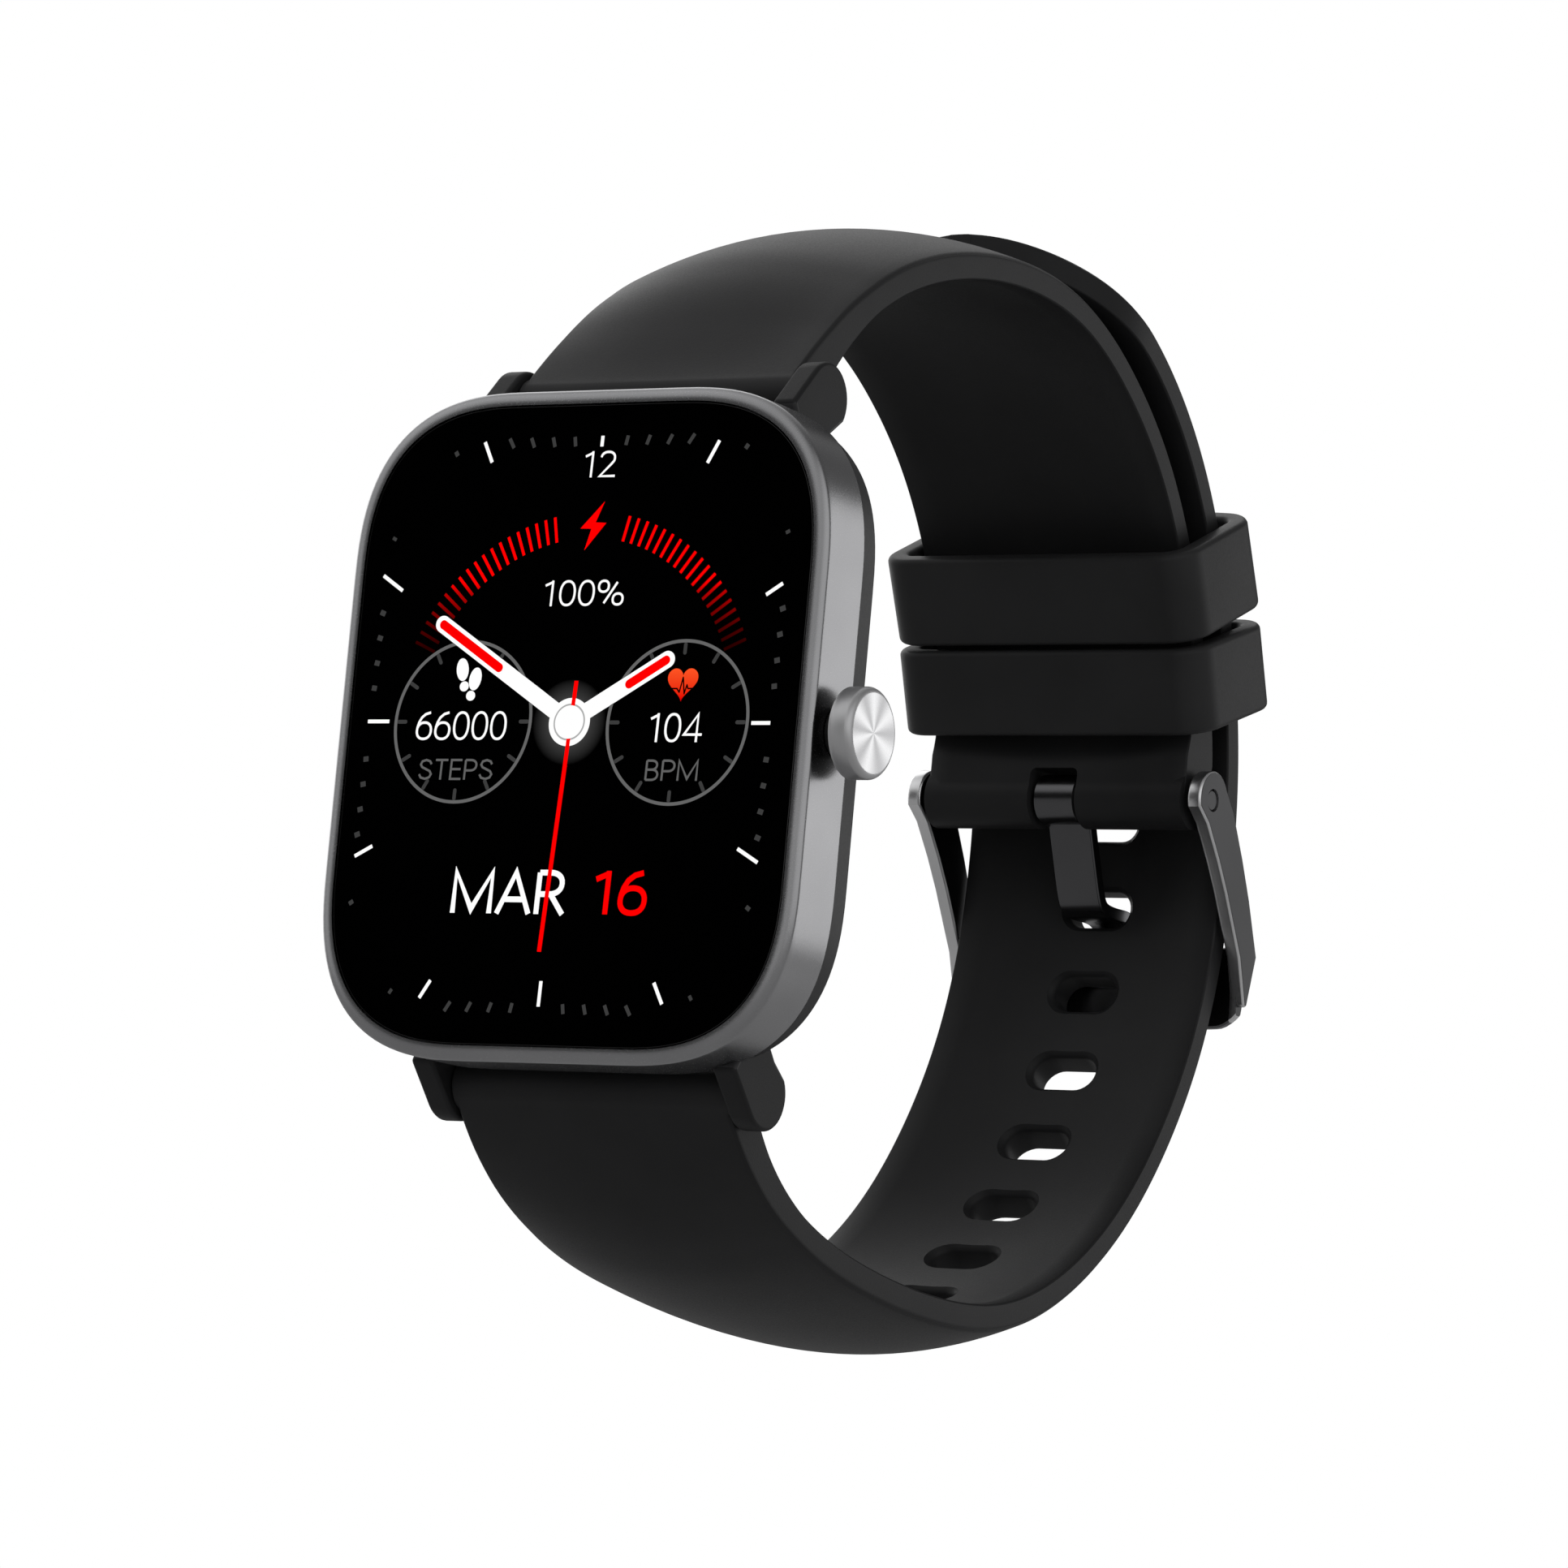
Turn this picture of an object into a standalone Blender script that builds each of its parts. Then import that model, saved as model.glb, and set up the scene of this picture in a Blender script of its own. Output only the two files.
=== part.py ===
"""Smartwatch with its strap fastened, as an assembly of separate parts.

Sizes below are in millimetres. A point is (x, depth, z): x towards the crown, depth from the front of the
glass towards the wrist, z towards 12 o'clock. The scene is in metres, with +Z up and the display facing -Y.
The world origin is the middle of the sensor window's flat back face.
"""

import math

import bmesh
import bpy
import numpy as np
from mathutils import Matrix, Vector

MM = 0.001
CLEARANCE = 0.05
SHARP_ANGLE = math.radians(35)

# Case: outlines are rounded rectangles with superellipse corners, given by half width, half height and radius
CASE_DEPTH = 10.2
CORNER_POWER = 2.64
CORNER_STEPS = 9
FRAME_HALF_X = 18.84
FRAME_HALF_Z = 22.66
FRAME_RADIUS = 12.7
FRAME_BACK = 5.0
GLASS_INSET = 1.1
GLASS_THICK = 1.0
CAVITY_INSET = 1.94
LIP_DEPTH = 0.58
COVER_FRONT = FRAME_BACK + CLEARANCE
COVER_HALF_X = 18.75
COVER_HALF_Z = 22.1
BAND_BACK = 6.4
BUMP_HALF_X = 13.9
BUMP_HALF_Z = 17.2
BUMP_BACK = 8.8
WINDOW_RADIUS = 12.0
WINDOW_FRONT = 8.35

# Lugs and spring bars
LUG_INNER = 11.1
LUG_OUTER = 12.9
BAR_DEPTH = 8.1
BAR_Z = 23.4
BAR_RADIUS = 0.75
BAR_BORE = 0.5
BAR_HALF = 10.5
BAR_PIN_RADIUS = 0.4
BAR_PIN_END = 12.2
BAR_TRAVEL = 1.2
LEVER_X = 7.0

# Crown
CROWN_DEPTH = 3.3
CROWN_Z = -0.13
CROWN_RADIUS = 3.05
CROWN_BASE = 19.86
CROWN_END = 21.65
STEM_RADIUS = 0.8
TUBE_RADIUS = 1.45
FLANGE_RADIUS = 1.65

# Strap: the edge path of each half, its thickness at the side face, and the arch across its width
STRAP_HALF = 10.9
STRAP_ARCH = 2.1
INNER_ARCH = 1.7
ARCH_RISE = 15.0
BEVEL_BAND = 1.2
UPPER_PATH = ((8.1, 23.4), (9.9, 25.6), (14.9, 30.6), (20.6, 34.2), (28.8, 37.0), (37.4, 38.0), (45.6, 36.9),
              (52.4, 33.6), (57.5, 29.5), (62.3, 23.2), (65.7, 15.5), (66.9, 9.8), (66.6, 5.7))
LOWER_PATH = ((8.1, -23.4), (9.7, -25.6), (13.0, -28.8), (19.2, -31.95), (27.8, -33.95), (37.0, -34.8),
              (45.4, -34.2), (53.9, -30.95), (60.4, -26.2), (66.1, -19.4), (69.9, -12.2), (71.9, -5.0),
              (72.5, 2.0), (71.7, 11.4), (69.6, 18.4), (66.0, 25.9), (61.5, 31.8), (56.0, 36.3), (49.5, 39.3),
              (44.0, 40.4))
LUG_THICK = 3.7
STRAP_THICK = 2.25
PIN_END_DISTANCE = (1, 3, 5, 7, 12)
PIN_END_THICK = (4.3, 4.6, 3.9, 3.3, STRAP_THICK)
TAIL_ROUND = 10.9
HOLE_COUNT = 11
HOLE_FIRST = 47.2
HOLE_PITCH = 6.48
HOLE_HALF_X = 2.6
HOLE_HALF_S = 1.375
STATION_STEP = 3.2

# Buckle
PIN_DEPTH = 66.6
PIN_Z = 5.7
PIN_RADIUS = 0.8
PIN_HALF = 12.4
BARREL_RADIUS = 2.2
NOTCH_HALF = 2.0
NOTCH_TOP = 7.8
ARM_INNER = 11.2
ARM_OUTER = 12.5
END_BAR_LOW = -10.2
END_BAR_CORNER = 2.5
TONGUE_HALF = 1.8
TONGUE_THICK = 1.0
TONGUE_CURL = 1.85
TONGUE_REACH = 15.7
TONGUE_SLOT = 2.15

# Keepers: rounded loops around both strap halves
KEEPER_HALF_X = 13.15
KEEPER_FAR = 5.75
KEEPER_NEAR = 6.35
KEEPER_WALL = 1.7
KEEPER_RADIUS = 2.75
KEEPER_ARCH = 1.95
KEEPERS = (
    ("keeper_upper", (65.2, 22.05), (0.44, -0.90), 6.7),
    ("keeper_lower", (68.0, 15.15), (0.36, -0.93), 6.4),
)

BLACK_RUBBER = ((0.022, 0.022, 0.023), 0.55, 0.0)
ALUMINIUM = ((0.38, 0.38, 0.39), 0.38, 1.0)
GUNMETAL = ((0.12, 0.12, 0.125), 0.25, 1.0)
STEEL = ((0.55, 0.55, 0.56), 0.3, 1.0)
GRAPHITE = ((0.05, 0.05, 0.052), 0.5, 0.0)
GLASS = ((0.01, 0.01, 0.011), 0.05, 0.0)
SEAL = ((0.02, 0.02, 0.02), 0.7, 0.0)
BOARD = ((0.02, 0.09, 0.05), 0.5, 0.0)
FOIL = ((0.35, 0.36, 0.38), 0.4, 0.6)
GOLD = ((0.75, 0.55, 0.25), 0.25, 1.0)
LED_GREEN = ((0.1, 0.5, 0.2), 0.2, 0.0)


def clear_scene():
    for item in list(bpy.data.objects):
        bpy.data.objects.remove(item, do_unlink=True)


def new_collection(name, hidden=False):
    group = bpy.data.collections.new(name)
    bpy.context.scene.collection.children.link(group)
    group.hide_render = hidden
    return group


clear_scene()
WATCH = new_collection("smartwatch")
CUTTERS = new_collection("cutters", hidden=True)


def world(x, depth, z):
    return Vector((x * MM, (depth - CASE_DEPTH) * MM, z * MM))


def material(name, look):
    colour, roughness, metallic = look
    made = bpy.data.materials.new(name)
    made.use_nodes = True
    shader = made.node_tree.nodes["Principled BSDF"]
    shader.inputs["Base Color"].default_value = (*colour, 1.0)
    shader.inputs["Roughness"].default_value = roughness
    shader.inputs["Metallic"].default_value = metallic
    return made


def add_object(name, mesh, look=None):
    """Puts a mesh in the scene: as a part when it has a look, and otherwise as a cutter or a piece to join."""
    made = bpy.data.objects.new(name, mesh)
    if look is None:
        CUTTERS.objects.link(made)
        made.hide_render = True
        made.display_type = "WIRE"
        return made
    WATCH.objects.link(made)
    mesh.shade_smooth()
    mesh.set_sharp_from_angle(angle=SHARP_ANGLE)
    mesh.materials.append(material(name, look))
    return made


def mesh_from(name, work):
    bmesh.ops.recalc_face_normals(work, faces=work.faces)
    mesh = bpy.data.meshes.new(name)
    work.to_mesh(mesh)
    work.free()
    return mesh


def loft(name, rings, look=None, ring_closed=False):
    """Joins outlines that hold the same number of points: capped at both ends, or closed into a loop."""
    work = bmesh.new()
    rows = [[work.verts.new(world(*point)) for point in ring] for ring in rings]
    pairs = list(zip(rows, rows[1:]))
    if ring_closed:
        pairs.append((rows[-1], rows[0]))
    else:
        work.faces.new(rows[0])
        work.faces.new(rows[-1])
    for near, far in pairs:
        for i in range(len(near)):
            j = (i + 1) % len(near)
            work.faces.new((near[i], near[j], far[j], far[i]))
    return add_object(name, mesh_from(name, work), look)


def block(name, low, high, look=None, edge=0.0):
    work = bmesh.new()
    low, high = world(*low), world(*high)
    size = Matrix.Diagonal((*(high - low), 1.0))
    bmesh.ops.create_cube(work, size=1.0, matrix=Matrix.Translation((low + high) / 2) @ size)
    made = add_object(name, mesh_from(name, work), look)
    if edge:
        bevel = made.modifiers.new("edges", "BEVEL")
        bevel.width = edge * MM
        bevel.segments = 2
    return made


def rod(name, start, end, radius, look=None, sides=24, edge=0.0):
    """A cylinder from one point to another."""
    start, end = world(*start), world(*end)
    turn = (end - start).to_track_quat("Z", "Y").to_matrix().to_4x4()
    work = bmesh.new()
    bmesh.ops.create_cone(
        work, cap_ends=True, segments=sides, radius1=radius * MM, radius2=radius * MM,
        depth=(end - start).length, matrix=Matrix.Translation((start + end) / 2) @ turn,
    )
    made = add_object(name, mesh_from(name, work), look)
    if edge:
        bevel = made.modifiers.new("edges", "BEVEL")
        bevel.width = edge * MM
        bevel.limit_method = "ANGLE"
    return made


def turned(name, profile, centre, axis, look=None, steps=32, closed=False):
    """Turns a profile of (radius, height) about an axis through the centre; heights run down its outer side."""
    mesh = bpy.data.meshes.new(name)
    edges = [(i, i + 1) for i in range(len(profile) - 1)]
    if closed:
        edges.append((len(profile) - 1, 0))
    mesh.from_pydata([(radius * MM, 0.0, height * MM) for radius, height in profile], edges, [])
    made = add_object(name, mesh, look)
    made.location = world(*centre)
    made.rotation_euler = Vector(axis).to_track_quat("Z", "Y").to_euler()
    screw = made.modifiers.new("turn", "SCREW")
    screw.steps = steps
    screw.render_steps = steps
    screw.use_merge_vertices = True
    screw.merge_threshold = 0.000001
    return made


def extruded(name, outline, turn, centre, half, look=None):
    """Extrudes a flat outline, drawn as a 2D curve, by half its thickness to each side of its plane."""
    drawn = bpy.data.curves.new(name, "CURVE")
    drawn.dimensions = "2D"
    drawn.fill_mode = "BOTH"
    drawn.extrude = half * MM
    line = drawn.splines.new("POLY")
    line.points.add(len(outline) - 1)
    for point, (u, v) in zip(line.points, outline):
        point.co = (u * MM, v * MM, 0.0, 1.0)
    line.use_cyclic_u = True
    holder = bpy.data.objects.new(name + "_outline", drawn)
    CUTTERS.objects.link(holder)
    bpy.context.view_layer.update()
    mesh = bpy.data.meshes.new_from_object(holder.evaluated_get(bpy.context.evaluated_depsgraph_get()))
    bpy.data.objects.remove(holder, do_unlink=True)
    work = bmesh.new()
    work.from_mesh(mesh)
    bmesh.ops.remove_doubles(work, verts=work.verts, dist=1e-7)
    bmesh.ops.recalc_face_normals(work, faces=work.faces)
    work.to_mesh(mesh)
    work.free()
    made = add_object(name, mesh, look)
    made.matrix_world = Matrix.Translation(world(*centre)) @ turn.to_4x4()
    return made


def combine(target, other, operation):
    step = target.modifiers.new(other.name, "BOOLEAN")
    step.operation = operation
    step.solver = "EXACT"
    step.object = other


def cut(target, *others):
    for other in others:
        combine(target, other, "DIFFERENCE")


def join(target, *others):
    for other in others:
        combine(target, other, "UNION")


SIDE_VIEW = Matrix(((0, 0, 1), (1, 0, 0), (0, 1, 0)))


def side_profile(name, outline, x_low, x_high, look=None):
    """Extrudes a (depth, z) outline along x."""
    middle = ((x_low + x_high) / 2, 0.0, 0.0)
    return extruded(name, outline, SIDE_VIEW, middle, (x_high - x_low) / 2, look)


def arc(centre, radius, start, end, steps):
    angles = [math.radians(start + (end - start) * i / steps) for i in range(steps + 1)]
    return [(centre[0] + radius * math.cos(a), centre[1] + radius * math.sin(a)) for a in angles]


def rounded(half_x, half_z, radius, depth):
    """A rounded rectangle with superellipse corners, facing the display's way."""
    power = 2 / CORNER_POWER
    points = []
    for quarter in range(4):
        for step in range(CORNER_STEPS + 1):
            turn = math.pi / 2 * step / CORNER_STEPS
            reach = (radius * math.cos(turn) ** power, radius * math.sin(turn) ** power)
            across, up = reach if quarter % 2 == 0 else reach[::-1]
            sign_x = 1 if quarter in (0, 3) else -1
            sign_z = 1 if quarter in (0, 1) else -1
            points.append((sign_x * (half_x - radius + across), depth, sign_z * (half_z - radius + up)))
    return points


def inset(offset, depth):
    return rounded(FRAME_HALF_X - offset, FRAME_HALF_Z - offset, FRAME_RADIUS - offset, depth)


def band(name, profile, look=None):
    """A closed loop of the case's outline, with its section given as (inset, depth) corners."""
    return loft(name, [inset(*corner) for corner in profile], look, ring_closed=True)


def crown_bore(radius, start, end):
    return rod("crown_bore", (start, CROWN_DEPTH, CROWN_Z), (end, CROWN_DEPTH, CROWN_Z), radius)


def make_front():
    loft("front_glass", [inset(GLASS_INSET, GLASS_THICK), inset(GLASS_INSET, 0.25),
                         inset(GLASS_INSET + 0.06, 0.08), inset(GLASS_INSET + 0.24, 0.0)], GLASS)
    band("glass_gasket", ((1.2, 1.05), (1.2, 1.2), (1.85, 1.2), (1.85, 1.05)), SEAL)
    loft("display_panel", [inset(2.3, 1.1), inset(2.3, 1.75)], GLASS)


def make_middle_frame():
    frame = band("middle_frame", (
        (1.0, 0.0), (0.7, 0.02), (0.4, 0.095), (0.18, 0.215), (0.04, 0.38), (0.0, LIP_DEPTH),
        (0.0, FRAME_BACK - 0.22), (0.18, FRAME_BACK), (CAVITY_INSET, FRAME_BACK), (CAVITY_INSET, 1.25),
        (1.0, 1.25)), ALUMINIUM)
    cut(frame, crown_bore(TUBE_RADIUS + CLEARANCE, 16.0, 20.0))


def lug_outline(sign):
    """The side view of one lug, from its front line round its end and back into the cover."""
    tip = arc((BAR_DEPTH + 0.15, BAR_Z), 2.45, 136, -30, 8)
    root = [(8.95, 21.1), (7.2, 18.9), (6.6, 18.9), (5.9, 20.3), (5.1, 20.6), (5.1, 22.45), (4.15, 22.75)]
    return [(depth, sign * z) for depth, z in tip + root]


def make_back_cover():
    cover = loft("back_cover", [
        rounded(COVER_HALF_X, COVER_HALF_Z, 12.4, COVER_FRONT),
        rounded(COVER_HALF_X, COVER_HALF_Z, 12.4, BAND_BACK),
        rounded(COVER_HALF_X - 0.55, COVER_HALF_Z - 0.6, 11.8, BAND_BACK + 0.5),
        rounded(BUMP_HALF_X + 0.3, BUMP_HALF_Z + 0.3, 8.6, BUMP_BACK - 0.2),
        rounded(BUMP_HALF_X, BUMP_HALF_Z, 8.3, BUMP_BACK)], GRAPHITE)
    for up, sign_z in (("upper", 1), ("lower", -1)):
        for side, sign_x in (("left", -1), ("right", 1)):
            low, high = sorted((sign_x * LUG_INNER, sign_x * LUG_OUTER))
            join(cover, side_profile(f"lug_{up}_{side}", lug_outline(sign_z), low, high))
    hollow = loft("cover_hollow", [rounded(16.64, 20.46, 10.3, 4.0), rounded(16.64, 20.46, 10.3, 6.0),
                                   rounded(12.6, 15.9, 8.0, 7.7)])
    pocket = rod("window_pocket", (0, WINDOW_FRONT - CLEARANCE, 0), (0, 12, 0), WINDOW_RADIUS + 0.1, sides=48)
    light_hole = rod("sensor_hole", (0, 6.5, 0), (0, 9, 0), 9.0, sides=32)
    groove = band("seal_groove", ((0.85, 4.0), (0.85, 5.6), (1.45, 5.6), (1.45, 4.0)))
    cut(cover, hollow, pocket, light_hole, groove)
    for side, x in (("left", -1.6), ("right", 1.6)):
        cut(cover, rod(f"contact_hole_{side}", (x, 6.5, -14.6), (x, 10, -14.6), 1.0, sides=20))
        sign = math.copysign(1, x)
        for up, z in (("upper", BAR_Z), ("lower", -BAR_Z)):
            cut(cover, rod(f"bar_hole_{up}_{side}", (sign * 10.5, BAR_DEPTH, z), (sign * 12.4, BAR_DEPTH, z),
                           BAR_PIN_RADIUS + CLEARANCE, sides=16))
    band("back_seal", ((0.92, 5.1), (0.92, 5.5), (1.38, 5.5), (1.38, 5.1)), SEAL)


def make_crown():
    centre = (0.0, CROWN_DEPTH, CROWN_Z)
    turned("crown_knob", (
        (0.0, CROWN_END - 0.05), (2.55, CROWN_END - 0.05), (2.62, CROWN_END), (2.9, CROWN_END),
        (CROWN_RADIUS, CROWN_END - 0.28), (CROWN_RADIUS, CROWN_BASE + 0.3), (CROWN_RADIUS - 0.3, CROWN_BASE),
        (1.0, CROWN_BASE), (1.0, CROWN_BASE + 0.9), (0.0, CROWN_BASE + 0.9)), centre, (1, 0, 0), ALUMINIUM,
        steps=40)
    turned("crown_stem", (
        (0.0, CROWN_BASE + 0.8), (STEM_RADIUS, CROWN_BASE + 0.8), (STEM_RADIUS, 18.4), (0.55, 18.4),
        (0.55, 17.75), (STEM_RADIUS, 17.75), (STEM_RADIUS, 16.91), (0.5, 16.91), (0.5, 16.5), (STEM_RADIUS, 16.5),
        (STEM_RADIUS, 15.75), (0.65, 15.6), (0.0, 15.6)), centre, (1, 0, 0), STEEL)
    turned("crown_tube", (
        (0.86, 19.35), (FLANGE_RADIUS - 0.1, 19.35), (FLANGE_RADIUS, 19.25), (FLANGE_RADIUS, 18.9),
        (TUBE_RADIUS, 18.9), (TUBE_RADIUS, 16.95), (0.86, 16.95)), centre, (1, 0, 0), STEEL, closed=True)
    turned("crown_seal", arc((0.7, 18.08), 0.13, 0, 315, 7)[::-1], centre, (1, 0, 0), SEAL, closed=True)
    turned("crown_retaining_clip", (
        (0.55, 16.85), (1.45, 16.85), (1.45, 16.55), (0.55, 16.55)), centre, (1, 0, 0), STEEL, closed=True)
    switch = block("crown_switch", (14.0, CROWN_DEPTH - 1.1, CROWN_Z - 1.6),
                   (15.1, CROWN_DEPTH + 1.1, CROWN_Z + 1.6), GRAPHITE, edge=0.1)
    cut(switch, crown_bore(0.56, 14.2, 15.5))
    plunger = ((0.0, 15.5), (0.4, 15.5), (0.5, 15.4), (0.5, 14.7), (0.0, 14.7))
    turned("switch_plunger", plunger, centre, (1, 0, 0), STEEL, steps=20)


def make_electronics():
    chassis = loft("inner_chassis", [inset(2.35, 2.65), inset(2.35, 3.25)], STEEL)
    board = block("main_board", (-13.8, 3.55, 0.8), (13.8, 4.25, 16.8), BOARD, edge=0.2)
    crown_room = block("crown_room", (13.4, 2.0, -3.0), (19.0, 5.0, 2.6))
    cut(chassis, crown_room, block("flex_room", (-4.4, 2.0, -0.5), (4.4, 4.0, 0.6)))
    cut(board, crown_room)
    for side, x in (("1", -11.5), ("2", 11.5)):
        clearance_hole = rod(f"screw_hole_{side}", (x, 2, 13), (x, 5, 13), 0.5, sides=16)
        cut(chassis, clearance_hole)
        cut(board, clearance_hole)
        screw = ((0.0, 4.55), (0.35, 4.55), (0.35, 4.8), (0.8, 4.8), (0.95, 4.65), (0.95, 4.3), (0.45, 4.3),
                 (0.45, 2.7), (0.0, 2.7))
        turned(f"board_screw_{side}", screw, (x, 0.0, 13), (0, 1, 0), STEEL, steps=16)
    block("shield_can", (-6, 4.55, 4.0), (6, 5.8, 13.0), FOIL, edge=0.25)
    rod("vibration_motor", (-10.0, 4.55, 7.5), (-10.0, 6.1, 7.5), 3.0, STEEL, edge=0.2)
    block("microphone", (9.0, 4.55, 6.0), (11.6, 5.3, 7.6), FOIL, edge=0.1)
    block("battery", (-13.0, 3.6, -16.5), (13.0, 6.5, -1.2), FOIL, edge=0.6)
    flex = [(1.85, -4.0), (2.0, -4.0), (2.0, -0.15), (4.55, -0.15), (4.55, 3.6), (4.4, 3.6), (4.4, 0.0),
            (1.85, 0.0)]
    side_profile("display_flex", flex, -3.6, 3.6, GOLD)


def make_sensors():
    window = [(0.0, CASE_DEPTH), (WINDOW_RADIUS - 1.6, CASE_DEPTH), (WINDOW_RADIUS - 0.7, CASE_DEPTH - 0.22),
              (WINDOW_RADIUS - 0.2, CASE_DEPTH - 0.6), (WINDOW_RADIUS, BUMP_BACK),
              (WINDOW_RADIUS, WINDOW_FRONT), (0.0, WINDOW_FRONT)]
    turned("sensor_window", window, (0, 0, 0), (0, 1, 0), GLASS, steps=48)
    rod("sensor_board", (0, 6.9, 0), (0, 7.45, 0), 9.0, BOARD, sides=32)
    block("sensor_led_1", (-3.2, 7.5, -0.9), (-1.4, 8.2, 0.9), LED_GREEN, edge=0.1)
    block("sensor_led_2", (1.4, 7.5, -0.9), (3.2, 8.2, 0.9), LED_GREEN, edge=0.1)
    block("photodiode", (-1.5, 7.5, -5.2), (1.5, 8.1, -2.2), GRAPHITE, edge=0.1)
    for side, sign in (("1", -1), ("2", 1)):
        x = sign * 1.6
        rod(f"charge_contact_{side}", (x, 7.1, -14.6), (x, 8.9, -14.6), 0.9, GOLD, sides=20, edge=0.12)
        x = sign * 6.0
        rod(f"charge_magnet_{side}", (x, 6.9, -12.6), (x, 7.6, -12.6), 1.5, STEEL, edge=0.1)


def spline(points):
    """A natural cubic spline through the points, as its dense points and their distance along it."""
    knots = np.array(points, float)
    steps = np.linalg.norm(np.diff(knots, axis=0), axis=1)
    slopes = np.diff(knots, axis=0) / steps[:, None]
    count = len(knots)
    matrix = np.eye(count)
    wanted = np.zeros((count, 2))
    for i in range(1, count - 1):
        matrix[i, i - 1:i + 2] = steps[i - 1], 2 * (steps[i - 1] + steps[i]), steps[i]
        wanted[i] = 6 * (slopes[i] - slopes[i - 1])
    bend = np.linalg.solve(matrix, wanted)
    dense = [knots[0]]
    for i, step in enumerate(steps):
        for share in np.linspace(0, 1, 25)[1:]:
            run = share * step
            linear = slopes[i] - step * (2 * bend[i] + bend[i + 1]) / 6
            cubic = (bend[i + 1] - bend[i]) / (6 * step)
            dense.append(knots[i] + linear * run + bend[i] / 2 * run ** 2 + cubic * run ** 3)
    dense = np.array(dense)
    along = np.concatenate([[0.0], np.cumsum(np.linalg.norm(np.diff(dense, axis=0), axis=1))])
    return along, dense


def frame_at(path, distance, side):
    """The point, the direction and the outward normal of a path at a distance along it."""
    along, dense = path
    def place(s):
        return np.array([np.interp(s, along, dense[:, k]) for k in (0, 1)])
    ahead = place(min(distance + 0.1, along[-1])) - place(max(distance - 0.1, 0.0))
    ahead /= np.linalg.norm(ahead)
    return place(distance), ahead, side * np.array([-ahead[1], ahead[0]])


def smooth(value):
    value = min(max(value, 0.0), 1.0)
    return value * value * (3 - 2 * value)


def strap_section(place, normal, thick, lift, half):
    """One section across a strap: arched outer face, square sides, arched inner face with a bevel band."""
    columns = 8
    def point(x, height):
        depth, z = place + normal * height
        return (x, depth, z)
    def arch(x, rise):
        return rise * lift * (1 - (x / STRAP_HALF) ** 2)
    edge = min(0.3, half / 4)
    shy = min(BEVEL_BAND, half / 3)
    outer = [(half - edge) * (2 * i / columns - 1) for i in range(columns + 1)]
    inner = [(half - shy) * (1 - 2 * i / columns) for i in range(columns + 1)]
    rim = arch(half, STRAP_ARCH)
    ring = [point(x, thick / 2 + arch(x, STRAP_ARCH)) for x in outer]
    ring += [point(half, thick / 2 - 0.3 + rim), point(half, 0.4 - thick / 2 + rim)]
    ring += [point(x, arch(x, INNER_ARCH) - thick / 2) for x in inner]
    ring += [point(-half, 0.4 - thick / 2 + rim), point(-half, thick / 2 - 0.3 + rim)]
    return ring


def ribbon(name, path, side, stations, thick, lift, half, look):
    rings = []
    for s in stations:
        place, _, normal = frame_at(path, s, side)
        rings.append(strap_section(place, normal, thick(s), lift(s), half(s)))
    return loft(name, rings, look)


def lug_thick(s):
    """The strap thins quickly from its lug barrel, and then slowly."""
    return float(np.interp(s, (0, 6, 12), (LUG_THICK, 2.8, STRAP_THICK)))


def bar_barrel(strap, up, sign):
    """The strap's barrel around the spring bar, with its bore and the slot for the release lever."""
    barrel = rod(f"{up}_barrel", (-STRAP_HALF, BAR_DEPTH, sign * BAR_Z), (STRAP_HALF, BAR_DEPTH, sign * BAR_Z),
                 LUG_THICK / 2, sides=24)
    bore = rod(f"{up}_bore", (-12, BAR_DEPTH, sign * BAR_Z), (12, BAR_DEPTH, sign * BAR_Z),
               BAR_RADIUS + CLEARANCE, sides=16)
    slot = lever_slot(f"{up}_lever_slot", sign, 0.6, 4.0)
    join(strap, barrel)
    cut(strap, bore, slot)


def lever_line(sign, reach):
    """A point on the line from the bar's axis towards the wrist."""
    return (BAR_DEPTH + 0.72 * reach, sign * (BAR_Z - 0.69 * reach))


def lever_slot(name, sign, half_width, reach):
    start, end = lever_line(sign, 0.0), lever_line(sign, reach)
    across = (0.69 * half_width, sign * 0.72 * half_width)
    outline = [(start[0] - across[0], start[1] - across[1]), (end[0] - across[0], end[1] - across[1]),
               (end[0] + across[0], end[1] + across[1]), (start[0] + across[0], start[1] + across[1])]
    return side_profile(name, outline, LEVER_X - BAR_TRAVEL - 0.6, LEVER_X + 0.6)


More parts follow.
